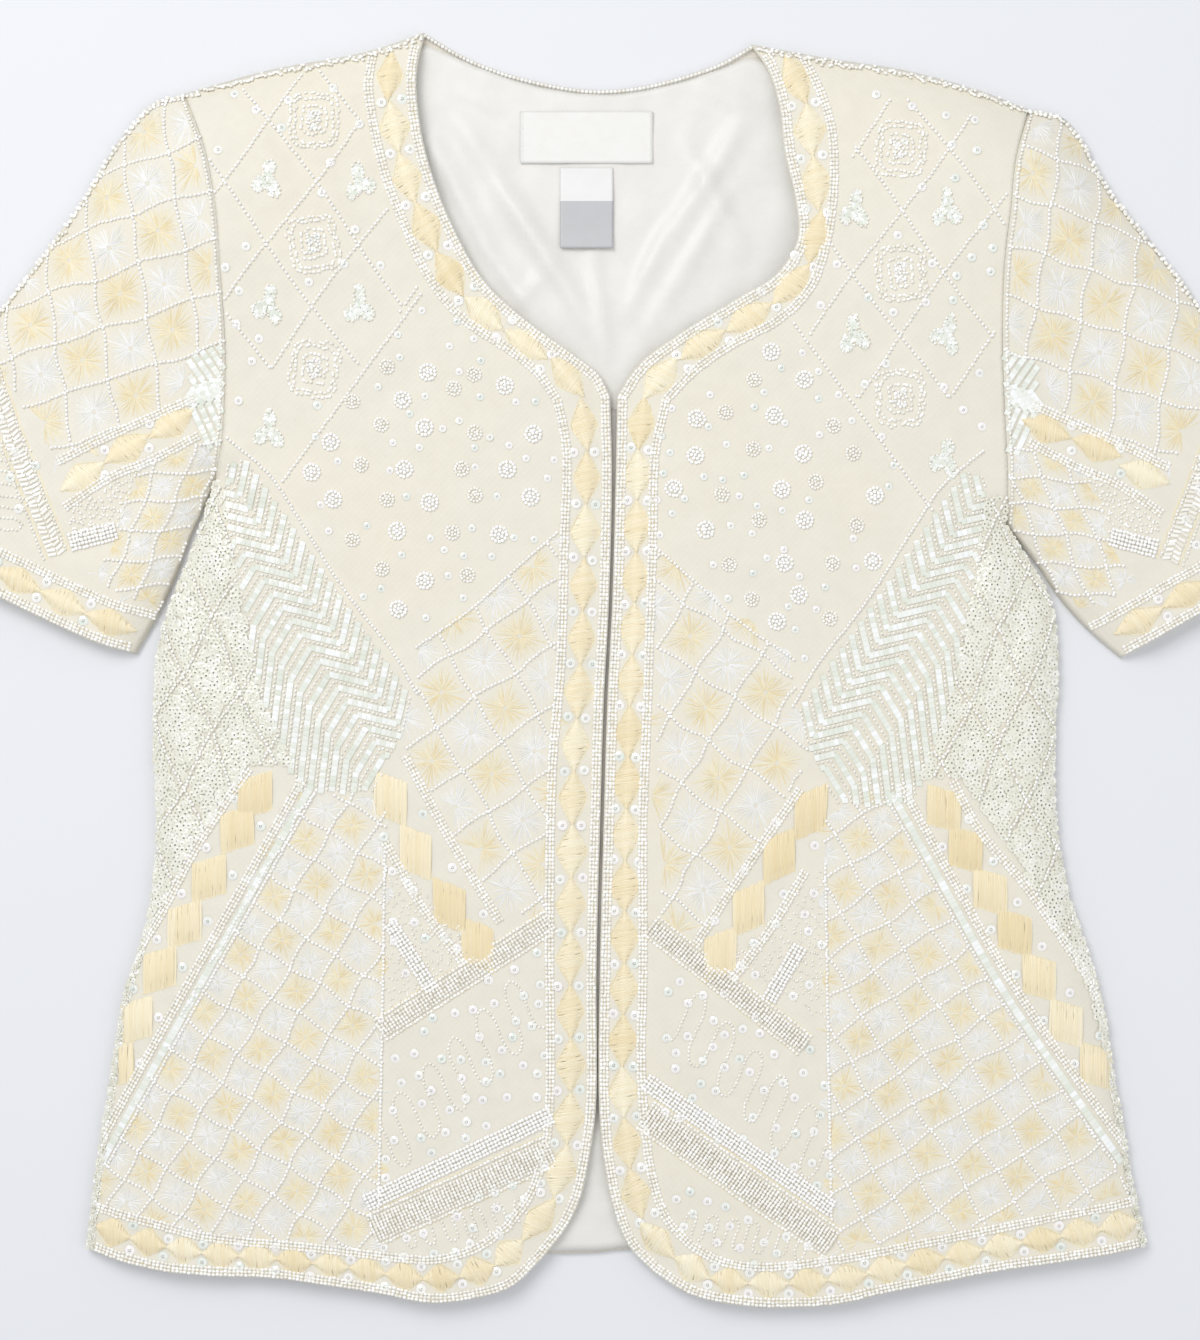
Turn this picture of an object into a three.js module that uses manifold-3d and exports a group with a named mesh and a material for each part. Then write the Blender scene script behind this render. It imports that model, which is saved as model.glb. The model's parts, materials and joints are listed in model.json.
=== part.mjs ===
// Short-sleeved beaded evening jacket, lying flat on its back with the fronts meeting edge to edge.
// Millimetres, +Z up: the back rests on z = 0, the neck is toward +Y and the hem toward -Y.
// Right and left are the wearer's, so the right front and the right sleeve lie at -X.

import * as THREE from 'three';
import Module from 'manifold-3d';
import { mergeVertices } from 'three/addons/utils/BufferGeometryUtils.js';

const wasm = await Module();
wasm.setup();

// Cloth thicknesses and seam clearances
const bodyWall = 2.0;
const sleeveWall = 1.8;
const liningWall = 1.0;
const labelWall = 0.8;
const tapeWall = 0.8;
const seamGap = 0.3;
const armholeGap = 0.9;

// How high the lying cloth stands: over the middle, at the front edges and at the closed edges
const restRise = 10.4;
const frontEdgeFall = 2.8;
const frontEdgeReach = 17;
const closedEdgeReach = 20;
const closedEdgeRoundness = 0.85;
const frontSeamTop = 2 * bodyWall + seamGap;
const sleeveFoldTop = 2.2;

// Lining and tape
const liningBase = bodyWall + seamGap;
const liningTop = liningBase + liningWall;
const liningInset = 6;
const liningNeckInset = 2;
const tapeHalfWidth = 6;
const tapeRun = { from: 0.015, to: 0.76 };

// Beaded relief on the outside of the walls
const reliefSink = 1.2;
const ropeRise = 1.2;
const valleyRise = 0.25;
const satinRise = 1.5;
const edgeInset = 1.2;
const cuffBandWidth = 21;

// A table turns short rows of numbers into records with named columns
const table = (columns, ...rows) =>
  rows.map((row) => Object.fromEntries(columns.map((name, i) => [name, row[i]])));
const line = (...rows) => table(['x', 'y'], ...rows);

// Seam lines of each half: side, armhole, shoulder, neckline, front edge, hem, then the sleeve's edges
const seams = {
  right: {
    side: line([-251.2, -282.3], [-245.9, -238.1], [-240.5, -204.6], [-232.7, -157], [-224.5, -131.8],
      [-219.2, -108.5], [-217.2, -74.5], [-218.7, -33.2], [-217, 6.6], [-212.6, 26], [-199.2, 60],
      [-189, 91.5]),
    armhole: line([-189, 91.5], [-185.2, 108.5], [-182.8, 154.6], [-184.7, 191], [-186.6, 220.6],
      [-192, 250.2], [-203.6, 279.8]),
    shoulder: line([-203.6, 279.8], [-162.9, 291], [-114.8, 300.2], [-87.1, 309.4]),
    neckline: line([-87.1, 309.4], [-90.6, 290.5], [-90, 272.6], [-85.2, 246.8], [-74, 216.5],
      [-57.5, 187.5],
      [-35.7, 167.5], [-13.3, 151.5], [-2, 142.5], [3.2, 132.3]),
    edge: line([3.2, 132.3], [4.1, 96.4], [2.7, 33.2], [0.2, -15.3], [-1.7, -78.4], [-3.4, -144.9],
      [-3.8, -214.8],
      [-7, -238.6], [-10.9, -256.5], [-17.7, -271.1], [-29.4, -286.1]),
    hem: line([-29.4, -286.1], [-43.4, -299.2], [-60.4, -305.1], [-83.2, -307.5], [-106.1, -303.6],
      [-130.3, -299.7], [-157, -295.9], [-191, -294.4], [-220.1, -291], [-251.2, -282.3]),
    sleeveOuter: line([-203.6, 279.8], [-218.7, 275.5], [-227.9, 266.7], [-237.1, 255.6], [-257.5, 222.6],
      [-292.9, 176], [-331.8, 129], [-358, 90], [-370.6, 65.8]),
    sleeveInner: line([-189.6, 91.5], [-195.9, 77], [-201.4, 64.3], [-207.5, 47.8], [-215.3, 29.5],
      [-227.4, 7]),
    cuff: line([-370.6, 65.8], [-331.8, 50], [-292.9, 34.2], [-272.1, 24.2], [-244.4, 11.9], [-227.4, 7]),
    backHem: line([-247.5, -277.4], [-200, -281], [-120, -284.5], [-23.5, -285.2], [0, -284.4]),
    bandNeck: line([-112.4, 297], [-114, 283], [-111.3, 263], [-105.1, 237.1], [-95.5, 212.8], [-84, 188.5],
      [-68, 169.5], [-47.8, 156], [-32.8, 144.4], [-22.6, 130.3]),
    bandEdge: line([-22.6, 130.3], [-18.2, 108], [-19.2, 59.5], [-21, 0], [-25, -48.8], [-26.3, -120.6],
      [-26, -202.2], [-27.9, -228.9], [-34.7, -253.1], [-47, -270.5]),
    bandHem: line([-47, -270.5], [-60.4, -280], [-80.3, -286], [-105, -285], [-137.6, -280.8],
      [-191.5, -275.5],
      [-218.2, -268.7], [-246.2, -261.4]),
  },
  left: {
    side: line([264.3, -280.8], [258.5, -254.6], [247.8, -195.4], [242.9, -164.3], [234.2, -133.2],
      [226.9, -112.4], [220.1, -74], [219.2, -39.6], [220.8, 6.6], [217.6, 33.2], [207.4, 51.7],
      [196, 69.7]),
    armhole: line([196, 69.7], [195.7, 96.4], [194.2, 125.5], [192.5, 164.3], [193.4, 198.3],
      [195.9, 220.6],
      [198.8, 246.3], [206.5, 272.1]),
    shoulder: line([206.5, 272.1], [184.2, 280.8], [146.8, 291], [109.9, 296.8], [72.1, 303.6]),
    neckline: line([72.1, 303.6], [79.4, 291.5], [85.2, 272.6], [87.8, 250.2], [93.2, 226], [94, 208],
      [84.2, 191.5], [62.4, 177.9], [34.7, 160.9], [16.8, 147], [6.6, 132.3]),
    edge: line([6.6, 132.3], [6, 96.4], [4.3, 33.2], [1.9, -15.3], [0, -78.4], [-1.7, -144.9],
      [-2.1, -213.3],
      [0.4, -241], [5, -263.3], [11.9, -280.3], [24.5, -293.4]),
    hem: line([24.5, -293.4], [42, -303.6], [61.9, -308], [84.7, -309.9], [114.3, -308], [135.2, -303.1],
      [162.9, -297.8], [189.1, -292.5], [223.5, -287.6], [264.3, -280.8]),
    sleeveOuter: line([206.5, 272.1], [223, 268.7], [230.3, 261.4], [247.3, 231.8], [271.6, 201.7],
      [311.4, 148], [346, 103.5], [370.6, 71.1]),
    sleeveInner: line([196.8, 69.7], [211.9, 49.8], [221.6, 35.2], [234.7, 20.1], [251.7, 5.1]),
    cuff: line([370.6, 71.1], [328.4, 47.8], [289.5, 26.5], [251.7, 5.1]),
    backHem: line([0, -284.4], [10.9, -283], [90, -283], [190, -279.6], [260.6, -275.5]),
    bandNeck: line([97, 297], [103.5, 283], [109.9, 263.3], [111.4, 237.1], [108, 208], [100, 184.5],
      [84, 168.6], [63.8, 158], [44.4, 144.9], [30.3, 130.3]),
    bandEdge: line([30.3, 130.3], [25, 105], [23.6, 60], [21, -20.1], [19, -71.6], [19, -144.9],
      [18.4, -200],
      [24, -248.8], [31.8, -268.7], [43.4, -280.3]),
    bandHem: line([43.4, -280.3], [57.5, -287.3], [78.9, -290], [114.3, -286.1], [162.9, -276.9],
      [223.5, -264.8], [258.8, -258.5]),
  },
};
const backNeck = line([-87.1, 309.4], [-69.2, 298.8], [-50.7, 291], [-26.5, 284.7], [-6.1, 281.8],
  [16.3, 283.2],
  [38.6, 288.5], [57, 295], [72.1, 303.6]);

// Soft forms of the lying cloth: shoulder pads and bust as mounds, creases as lines
const mounds = {
  right: table(['x', 'y', 'rise', 'spread'],
    [-188, 226, 10.5, 50], [-112, 84, 1.4, 55], [-300, 120, 0.8, 40]),
  left: table(['x', 'y', 'rise', 'spread'],
    [194, 220, 10.5, 50], [118, 84, 1.4, 55], [300, 120, 0.8, 40]),
};
const creases = {
  right: table(['x1', 'y1', 'x2', 'y2', 'rise', 'width'],
    [-172, 122, -200, 66, 1.4, 9],
    [-232, 210, -300, 128, 1.2, 13],
    [-214, 96, -262, 50, -1.3, 11],
    [-150, -60, -160, -262, 1.1, 15],
    [-84, 150, -120, 118, -0.9, 11]),
  left: table(['x1', 'y1', 'x2', 'y2', 'rise', 'width'],
    [156, 92, 157, 18, 1.5, 9],
    [124, -44, 126, -270, 1.6, 13],
    [95, 164, 122, 130, -0.9, 11],
    [222, 92, 284, 44, -1.3, 11],
    [240, 206, 306, 122, 1.2, 13],
    [196, -90, 212, -250, 0.9, 13]),
};
const hemRipple = {
  right: { rise: 1.5, length: 58, start: -232 },
  left: { rise: 0.8, length: 74, start: 90 },
};
const hemRippleReach = 70;

// Raised bead bars, each a straight strip across the lower front
const beadBars = {
  right: table(['x1', 'y1', 'x2', 'y2', 'width', 'rise'],
    [-115, -259, -24, -216.2, 8.2, 1.5], [-112, -270.6, -24, -231.5, 6.6, 1.1],
    [-108.5, -175.5, -24, -122.1, 8.2, 1.5], [-103.6, -123, -82.8, -156.1, 6.8, 1.5]),
  left: table(['x1', 'y1', 'x2', 'y2', 'width', 'rise'],
    [18.6, -198.7, 110.9, -261.9, 8.2, 1.5], [18.6, -211.5, 110.9, -275.2, 6.6, 1.1],
    [19.5, -122.1, 97.8, -182.8, 8.2, 1.5], [95.4, -134.2, 79.8, -160.9, 6.8, 1.5]),
};

// Lozenges set apart from the borders: bead squares on the yoke, satin ones in the two slanting bands.
// Their sides are upright, and slope is the rise of their top and bottom edges toward +X.
const lozengeColumns = ['x', 'y', 'halfWide', 'halfTall', 'slope', 'rise'];
const lozenges = {
  right: table(lozengeColumns,
    [-140, 265, 11.6, 13, 0, 1.2], [-140, 205, 11.6, 13, 0, 1.2], [-140, 145, 11.6, 13, 0, 1.2],
    [-178, -78, 8, 9, 0.35, 1.5], [-191, -102, 8, 9, 0.35, 1.5], [-203, -125, 8, 9, 0.35, 1.5],
    [-103, -63, 7.5, 10.5, -0.45, 1.5], [-91, -89, 7.5, 10.5, -0.45, 1.5],
    [-74.5, -115, 7.5, 10.5, -0.45, 1.5]),
  left: table(lozengeColumns,
    [143.4, 251, 11.6, 13, 0, 1.2], [143.4, 191, 11.6, 13, 0, 1.2], [143.4, 131, 11.6, 13, 0, 1.2],
    [170.6, -88.1, 8, 9, -0.35, 1.5], [183.7, -108.5, 8, 9, -0.35, 1.5],
    [195.9, -127.9, 8, 9, -0.35, 1.5], [208, -148.8, 8, 9, -0.35, 1.5],
    [84.7, -96.8, 7.5, 10.5, 0.45, 1.5], [70.1, -118.2, 7.5, 10.5, 0.45, 1.5],
    [56.1, -138.1, 7.5, 10.5, 0.45, 1.5]),
};

// Creases of the satin lining that show in the neck opening
const liningCreases = table(['x1', 'y1', 'x2', 'y2', 'width', 'rise'],
  [-66, 262, -22, 190, 9, 1.2], [66, 268, 24, 196, 9, 1.3], [-44, 214, 0, 156, 8, 0.9],
  [58, 214, 26, 172, 8, 0.9]);
const neckLabel = { x1: -40.5, y1: 245.9, x2: 24, y2: 271.1 };
const careLabel = { x1: -21.1, y1: 204.5, x2: 4.6, y2: 243.8, curl: 1.4 };

// Grid counts of the walls
const frontRows = { side: 19, armhole: 12 };
const frontColumns = 15;
const columnEase = 1.35;
const shoulderEase = 1.35;
const sleeveStations = 13;
const sleeveTopFractions = [0, 0.025, 0.07, 0.16, 0.28, 0.4, 0.52, 0.64, 0.76, 0.86, 0.93, 0.975, 1];
const sleeveUnderColumns = [11, 8, 5, 3, 1];
const satinPitch = { neckline: 26, edge: 26, hem: 19.5, cuff: 25 };
const creaseSteps = 5;
const tapeStations = 22;
const cuffBandRun = { from: 0.07, to: 0.94 };
const borderRun = { neckFrom: 0.035, hemTo: 0.985 };
const barStation = 16;
const foldInset = 0.55;
const cornerTrim = 0.04;

// Evenly spaced fractions from 0 to 1, eased by a power toward one end
const steps = (count, ease = 1) => Array.from({ length: count + 1 }, (_, i) => (i / count) ** ease);
const stepsToEnd = (count, ease) => steps(count, ease).map((t) => 1 - t).reverse();

const smoothCurve = (rows) => new THREE.CatmullRomCurve3(
  rows.map((p) => new THREE.Vector3(p.x, p.y, 0)), false, 'centripetal');
const pointsAlong = (rows, fractions) => {
  const curve = smoothCurve(rows);
  return fractions.map((t) => curve.getPointAt(t));
};
const reversed = (rows) => [...rows].reverse();

// Distance from a point to a run of points, in plan
function distanceToRun(x, y, run) {
  let nearest = Infinity;
  for (let i = 1; i < run.length; i++) {
    const a = run[i - 1];
    const b = run[i];
    const dx = b.x - a.x;
    const dy = b.y - a.y;
    const t = THREE.MathUtils.clamp(((x - a.x) * dx + (y - a.y) * dy) / (dx * dx + dy * dy), 0, 1);
    nearest = Math.min(nearest, Math.hypot(x - a.x - t * dx, y - a.y - t * dy));
  }
  return nearest;
}

// A crease: full height along its middle, fading out at both ends
function creaseRise(x, y, crease) {
  const dx = crease.x2 - crease.x1;
  const dy = crease.y2 - crease.y1;
  const length = Math.hypot(dx, dy);
  const t = ((x - crease.x1) * dx + (y - crease.y1) * dy) / (length * length);
  if (t <= 0 || t >= 1) return 0;
  const aside = ((x - crease.x1) * dy - (y - crease.y1) * dx) / length;
  return crease.rise * Math.sin(Math.PI * t) ** 0.7 * Math.exp(-((aside / crease.width) ** 2));
}

const runSteps = steps(40);
const runs = Object.fromEntries(Object.entries(seams).map(([side, seam]) => [side, {
  closed: ['side', 'shoulder', 'sleeveOuter', 'sleeveInner'].map(
    (name) => pointsAlong(seam[name], runSteps)),
  frontEdge: pointsAlong(seam.edge, runSteps),
}]));

// Height of the cloth's outside away from its edges
function restHeight(side, x, y) {
  let z = restRise;
  for (const m of mounds[side]) {
    z += m.rise * Math.exp(-((x - m.x) ** 2 + (y - m.y) ** 2) / (2 * m.spread ** 2));
  }
  for (const crease of creases[side]) z += creaseRise(x, y, crease);
  z -= frontEdgeFall * Math.exp(-((distanceToRun(x, y, runs[side].frontEdge) / frontEdgeReach) ** 2));
  const ripple = hemRipple[side];
  const aboveHem = (y + 310) / hemRippleReach;
  if (aboveHem < 1) {
    const wave = 0.5 - 0.5 * Math.cos((2 * Math.PI * (x - ripple.start)) / ripple.length);
    z += ripple.rise * wave * (1 - aboveHem) * Math.min(1, Math.abs(x) / 60);
  }
  return z;
}

// Height of the outside everywhere: it rounds down to the closed seams and folds
function outsideHeight(side, x, y, edgeTop) {
  const distance = Math.min(...runs[side].closed.map((run) => distanceToRun(x, y, run)));
  const rest = restHeight(side, x, y);
  const reach = closedEdgeReach + 1.2 * (rest - restRise);
  const round = Math.sin((Math.PI / 2) * Math.min(distance / reach, 1)) ** closedEdgeRoundness;
  return edgeTop + (rest - edgeTop) * round;
}

// Coons patch: a grid of plan points filled in between four boundary runs
function coonsPatch({ bottom, top, outer, inner }, acrossFractions, alongFractions) {
  return alongFractions.map((v, i) => acrossFractions.map((u, j) => new THREE.Vector3()
    .addScaledVector(bottom[j], 1 - v).addScaledVector(top[j], v)
    .addScaledVector(outer[i], 1 - u).addScaledVector(inner[i], u)
    .addScaledVector(outer[0], -(1 - u) * (1 - v)).addScaledVector(outer.at(-1), -(1 - u) * v)
    .addScaledVector(inner[0], -u * (1 - v)).addScaledVector(inner.at(-1), -u * v)));
}

// Closed mesh from a grid of outside points and a grid of inside points; a tube wraps across
function wallGeometry(outside, inside, wraps = false) {
  const rows = outside.length;
  const columns = outside[0].length;
  const points = [...outside.flat(), ...inside.flat()];
  const outer = (i, j) => i * columns + (j % columns);
  const inner = (i, j) => rows * columns + outer(i, j);
  const index = [];
  const quad = (a, b, c, d) => index.push(a, b, c, a, c, d);
  const lastColumn = wraps ? columns : columns - 1;
  for (let i = 0; i < rows - 1; i++) {
    for (let j = 0; j < lastColumn; j++) {
      quad(outer(i, j), outer(i, j + 1), outer(i + 1, j + 1), outer(i + 1, j));
      quad(inner(i, j), inner(i + 1, j), inner(i + 1, j + 1), inner(i, j + 1));
    }
  }
  for (let j = 0; j < lastColumn; j++) {
    quad(outer(0, j), inner(0, j), inner(0, j + 1), outer(0, j + 1));
    quad(outer(rows - 1, j), outer(rows - 1, j + 1), inner(rows - 1, j + 1), inner(rows - 1, j));
  }
  if (!wraps) {
    for (let i = 0; i < rows - 1; i++) {
      quad(outer(i, 0), outer(i + 1, 0), inner(i + 1, 0), inner(i, 0));
      const last = columns - 1;
      quad(outer(i, last), inner(i, last), inner(i + 1, last), outer(i + 1, last));
    }
  }
  const geometry = new THREE.BufferGeometry().setFromPoints(points);
  geometry.setIndex(index);
  return signedVolume(geometry) < 0 ? turnedInsideOut(geometry) : geometry;
}

function signedVolume(geometry) {
  const position = geometry.getAttribute('position');
  const index = geometry.getIndex();
  const corner = (k) => new THREE.Vector3().fromBufferAttribute(position, index.getX(k));
  let volume = 0;
  for (let k = 0; k < index.count; k += 3) volume += corner(k).dot(corner(k + 1).cross(corner(k + 2))) / 6;
  return volume;
}

function turnedInsideOut(geometry) {
  const index = Array.from(geometry.getIndex().array);
  for (let k = 0; k < index.length; k += 3) [index[k + 1], index[k + 2]] = [index[k + 2], index[k + 1]];
  geometry.setIndex(index);
  return geometry;
}

// Boolean solids
function toSolid(geometry) {
  let bare = geometry.clone();
  for (const name of Object.keys(bare.attributes)) if (name !== 'position') bare.deleteAttribute(name);
  bare = mergeVertices(bare, 1e-4);
  return new wasm.Manifold(new wasm.Mesh({
    numProp: 3,
    vertProperties: new Float32Array(bare.getAttribute('position').array),
    triVerts: new Uint32Array(bare.getIndex().array),
  }));
}

function toGeometry(solid) {
  const mesh = solid.getMesh();
  const geometry = new THREE.BufferGeometry();
  geometry.setAttribute('position', new THREE.BufferAttribute(mesh.vertProperties, 3));
  geometry.setIndex(new THREE.BufferAttribute(mesh.triVerts, 1));
  return geometry;
}

const joined = (base, additions) => toGeometry(
  additions.reduce((solid, geometry) => solid.add(toSolid(geometry)), toSolid(base)));

// Height of a wall's faceted outside at a plan point, read off the facet that holds it or comes nearest
function heightOn(grid, x, y) {
  let best = { inside: -Infinity, z: 0 };
  for (let i = 0; i < grid.length - 1; i++) {
    for (let j = 0; j < grid[0].length - 1; j++) {
      const [a, b, c, d] = [grid[i][j], grid[i][j + 1], grid[i + 1][j + 1], grid[i + 1][j]];
      for (const [p, q, r] of [[a, b, c], [a, c, d]]) {
        const area = (q.x - p.x) * (r.y - p.y) - (r.x - p.x) * (q.y - p.y);
        const s = ((q.x - x) * (r.y - y) - (r.x - x) * (q.y - y)) / area;
        const t = ((r.x - x) * (p.y - y) - (p.x - x) * (r.y - y)) / area;
        const inside = Math.min(s, t, 1 - s - t);
        if (inside > best.inside) best = { inside, z: s * p.z + t * q.z + (1 - s - t) * r.z };
      }
    }
  }
  return best.z;
}

// Raised strip between two runs of plan points; rise(k) gives its profile across at station k
function raisedStrip(grid, near, far, profile, sink = reliefSink) {
  const rowAt = (k, lift) => profile(k).map(({ at, rise }) => {
    const p = near[k].clone().lerp(far[k], at);
    return new THREE.Vector3(p.x, p.y, heightOn(grid, p.x, p.y) + lift(rise));
  });
  const outside = near.map((_, k) => rowAt(k, (rise) => rise));
  const inside = near.map((_, k) => rowAt(k, () => -sink));
  return wallGeometry(outside, inside);
}

// Border section: a bead rope on each side and a satin diamond on every second station
const borderProfile = (k) => [
  { at: 0, rise: ropeRise },
  { at: 0.2, rise: valleyRise },
  { at: 0.5, rise: k % 2 ? satinRise : valleyRise },
  { at: 0.8, rise: valleyRise },
  { at: 1, rise: ropeRise },
];
const barProfile = (rise) => () => [
  { at: 0, rise: rise / 2 },
  { at: 0.5, rise },
  { at: 1, rise: rise / 2 },
];

// Moves each point of a run sideways in plan, to the left of its direction
function offsetRun(run, distance) {
  return run.map((p, i) => {
    const before = run[Math.max(i - 1, 0)];
    const after = run[Math.min(i + 1, run.length - 1)];
    const heading = new THREE.Vector3().subVectors(after, before).normalize();
    return new THREE.Vector3(p.x - heading.y * distance, p.y + heading.x * distance, 0);
  });
}

// The border runs down the neckline, down the front edge and along the hem
function frontBorder(grid, side) {
  const seam = seams[side];
  const turn = side === 'right' ? -1 : 1;
  const near = [];
  const far = [];
  const legs = [['neckline', seam.bandNeck, borderRun.neckFrom, 1], ['edge', seam.bandEdge, 0, 1],
    ['hem', seam.bandHem, 0, borderRun.hemTo]];
  for (const [name, bandLine, start, end] of legs) {
    const edgeLine = seam[name];
    const length = smoothCurve(edgeLine).getLength() * (end - start);
    const count = 2 * Math.round(length / satinPitch[name]);
    const fractions = steps(count).map((t) => start + t * (end - start));
    const edgePoints = offsetRun(pointsAlong(edgeLine, fractions), turn * edgeInset);
    const bandPoints = pointsAlong(bandLine, steps(count));
    const skip = near.length ? 1 : 0;
    near.push(...edgePoints.slice(skip));
    far.push(...bandPoints.slice(skip));
  }
  return raisedStrip(grid, near, far, borderProfile);
}

function beadBar(grid, bar) {
  const count = Math.max(3, Math.round(Math.hypot(bar.x2 - bar.x1, bar.y2 - bar.y1) / barStation));
  const middle = steps(count).map((t) => new THREE.Vector3(
    THREE.MathUtils.lerp(bar.x1, bar.x2, t), THREE.MathUtils.lerp(bar.y1, bar.y2, t), 0));
  return raisedStrip(grid, offsetRun(middle, bar.width / 2), offsetRun(middle, -bar.width / 2),
    barProfile(bar.rise));
}

// Lozenge: a low four-sided pyramid on a sunk base
function lozengeGeometry(grid, { x, y, halfWide, halfTall, slope, rise }) {
  const corners = [[1, 1], [-1, 1], [-1, -1], [1, -1]].map(([across, up]) => new THREE.Vector3(
    x + across * halfWide, y + up * halfTall + slope * across * halfWide, 0));
  const lifted = (p, lift) => new THREE.Vector3(p.x, p.y, heightOn(grid, p.x, p.y) + lift);
  const rim = corners.map((p) => lifted(p, valleyRise));
  const base = corners.map((p) => lifted(p, -reliefSink));
  const geometry = new THREE.BufferGeometry().setFromPoints(
    [...rim, ...base, lifted(new THREE.Vector3(x, y, 0), rise)]);
  const index = [4, 6, 5, 4, 7, 6];
  for (let k = 0; k < 4; k++) {
    const next = (k + 1) % 4;
    index.push(k, next, 8, 4 + k, 4 + next, next, 4 + k, next, k);
  }
  geometry.setIndex(index);
  return geometry;
}

// Front: one wall from the side seam and armhole to the front edge and neckline
function frontGrid(side) {
  const seam = seams[side];
  const across = steps(frontColumns, columnEase);
  const sideSteps = steps(frontRows.side);
  const armSteps = stepsToEnd(frontRows.armhole, shoulderEase).slice(1);
  const rowCount = frontRows.side + frontRows.armhole;
  const plan = coonsPatch({
    bottom: pointsAlong(reversed(seam.hem), across),
    top: pointsAlong(seam.shoulder, across),
    outer: [...pointsAlong(seam.side, sideSteps), ...pointsAlong(seam.armhole, armSteps)],
    inner: [...pointsAlong(reversed(seam.edge), sideSteps),
      ...pointsAlong(reversed(seam.neckline), armSteps)],
  }, across, steps(rowCount));
  return plan.map((row) => row.map((p) => p.setZ(outsideHeight(side, p.x, p.y, frontSeamTop))));
}

const movedDown = (grid, drop) => grid.map(
  (row) => row.map((p) => new THREE.Vector3(p.x, p.y, p.z - drop)));

function frontGeometry(side) {
  const grid = frontGrid(side);
  return joined(wallGeometry(grid, movedDown(grid, bodyWall)), [
    frontBorder(grid, side),
    ...beadBars[side].map((bar) => beadBar(grid, bar)),
    ...lozenges[side].map((lozenge) => lozengeGeometry(grid, lozenge)),
  ]);
}

// Sleeve: a flattened tube, open at the armhole and the cuff, its underside flat on the surface
function sleeveGeometry(side) {
  const seam = seams[side];
  const stationSteps = steps(sleeveStations);
  const outward = side === 'right' ? -armholeGap : armholeGap;
  const plan = coonsPatch({
    bottom: pointsAlong(reversed(seam.armhole), sleeveTopFractions),
    top: pointsAlong(seam.cuff, sleeveTopFractions),
    outer: pointsAlong(seam.sleeveOuter, stationSteps),
    inner: pointsAlong(seam.sleeveInner, stationSteps),
  }, sleeveTopFractions, stationSteps);
  plan.forEach((row, i) => row.forEach((p) => { p.x += outward * (1 - stationSteps[i]); }));
  const lastColumn = sleeveTopFractions.length - 1;
  const top = plan.map((row) => row.map((p) => new THREE.Vector3(
    p.x, p.y, outsideHeight(side, p.x, p.y, sleeveFoldTop))));
  const ring = (row, under) => [...row,
    ...sleeveUnderColumns.map((j) => new THREE.Vector3(row[j].x, row[j].y, under))];
  const outside = top.map((row) => ring(row, 0));
  const inside = top.map((row) => {
    const lowered = row.map((p) => new THREE.Vector3(p.x, p.y, p.z - sleeveWall));
    for (const [fold, next] of [[0, 1], [lastColumn, lastColumn - 1]]) {
      lowered[fold] = row[fold].clone().lerp(row[next], foldInset).setZ(sleeveFoldTop);
    }
    return ring(lowered, sleeveWall);
  });
  return joined(wallGeometry(outside, inside, true), [cuffBorder(top, side)]);
}

// The cuff's border lies along the upper half of the opening
function cuffBorder(grid, side) {
  const length = smoothCurve(seams[side].cuff).getLength();
  const count = 2 * Math.round(length / satinPitch.cuff);
  const cuffLine = pointsAlong(seams[side].cuff, steps(count).map(
    (t) => THREE.MathUtils.lerp(cuffBandRun.from, cuffBandRun.to, t)));
  const turn = side === 'right' ? 1 : -1;
  return raisedStrip(grid, offsetRun(cuffLine, turn * edgeInset), offsetRun(cuffLine, turn * cuffBandWidth),
    borderProfile);
}

// Flat panel: an outline in plan with a thickness
function panelGeometry(outline, base, thickness) {
  const shape = new THREE.Shape(outline.map((p) => new THREE.Vector2(p.x, p.y)));
  return new THREE.ExtrudeGeometry(shape, { depth: thickness, bevelEnabled: false }).translate(0, 0, base);
}

// The back's outline, anticlockwise from the middle of its hem, each seam moved in by its own inset
function backOutline(bodyInset, neckInset) {
  const { right, left } = seams;
  const full = bodyInset === 0;
  const legs = [[left.backHem, 8, bodyInset], [left.side, 20, bodyInset], [left.armhole, 12, bodyInset],
    [left.shoulder, 6, bodyInset], [reversed(backNeck), 14, neckInset],
    [reversed(right.shoulder), 6, bodyInset],
    [reversed(right.armhole), 12, bodyInset], [reversed(right.side), 20, bodyInset],
    [right.backHem, 8, bodyInset]];
  const trim = full ? 0 : cornerTrim;
  return legs.flatMap(([rows, count, inset]) => {
    const fractions = steps(count).map((t) => trim + t * (1 - 2 * trim));
    const run = offsetRun(pointsAlong(rows, fractions), inset);
    return full ? run.slice(0, -1) : run;
  });
}

const flatGrid = (x1, y1, x2, y2, z) => [[new THREE.Vector3(x1, y1, z), new THREE.Vector3(x2, y1, z)],
  [new THREE.Vector3(x1, y2, z), new THREE.Vector3(x2, y2, z)]];

function liningGeometry() {
  const top = flatGrid(-400, -400, 400, 400, liningTop);
  const panel = panelGeometry(backOutline(liningInset, liningNeckInset), liningBase, liningWall);
  return joined(panel, liningCreases.map((crease) => liningCrease(top, crease)));
}

// A soft crease: a low ridge that tapers to nothing at both ends
function liningCrease(grid, { x1, y1, x2, y2, width, rise }) {
  const middle = steps(creaseSteps).map((t) => new THREE.Vector3(
    THREE.MathUtils.lerp(x1, x2, t), THREE.MathUtils.lerp(y1, y2, t), 0));
  return raisedStrip(grid, offsetRun(middle, width / 2), offsetRun(middle, -width / 2), (k) => {
    const crown = rise * Math.sin((Math.PI * k) / creaseSteps) ** 0.8;
    return [{ at: 0, rise: 0 }, { at: 0.28, rise: 0.75 * crown }, { at: 0.72, rise: 0.75 * crown },
      { at: 1, rise: 0 }];
  }, liningWall / 2);
}

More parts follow.
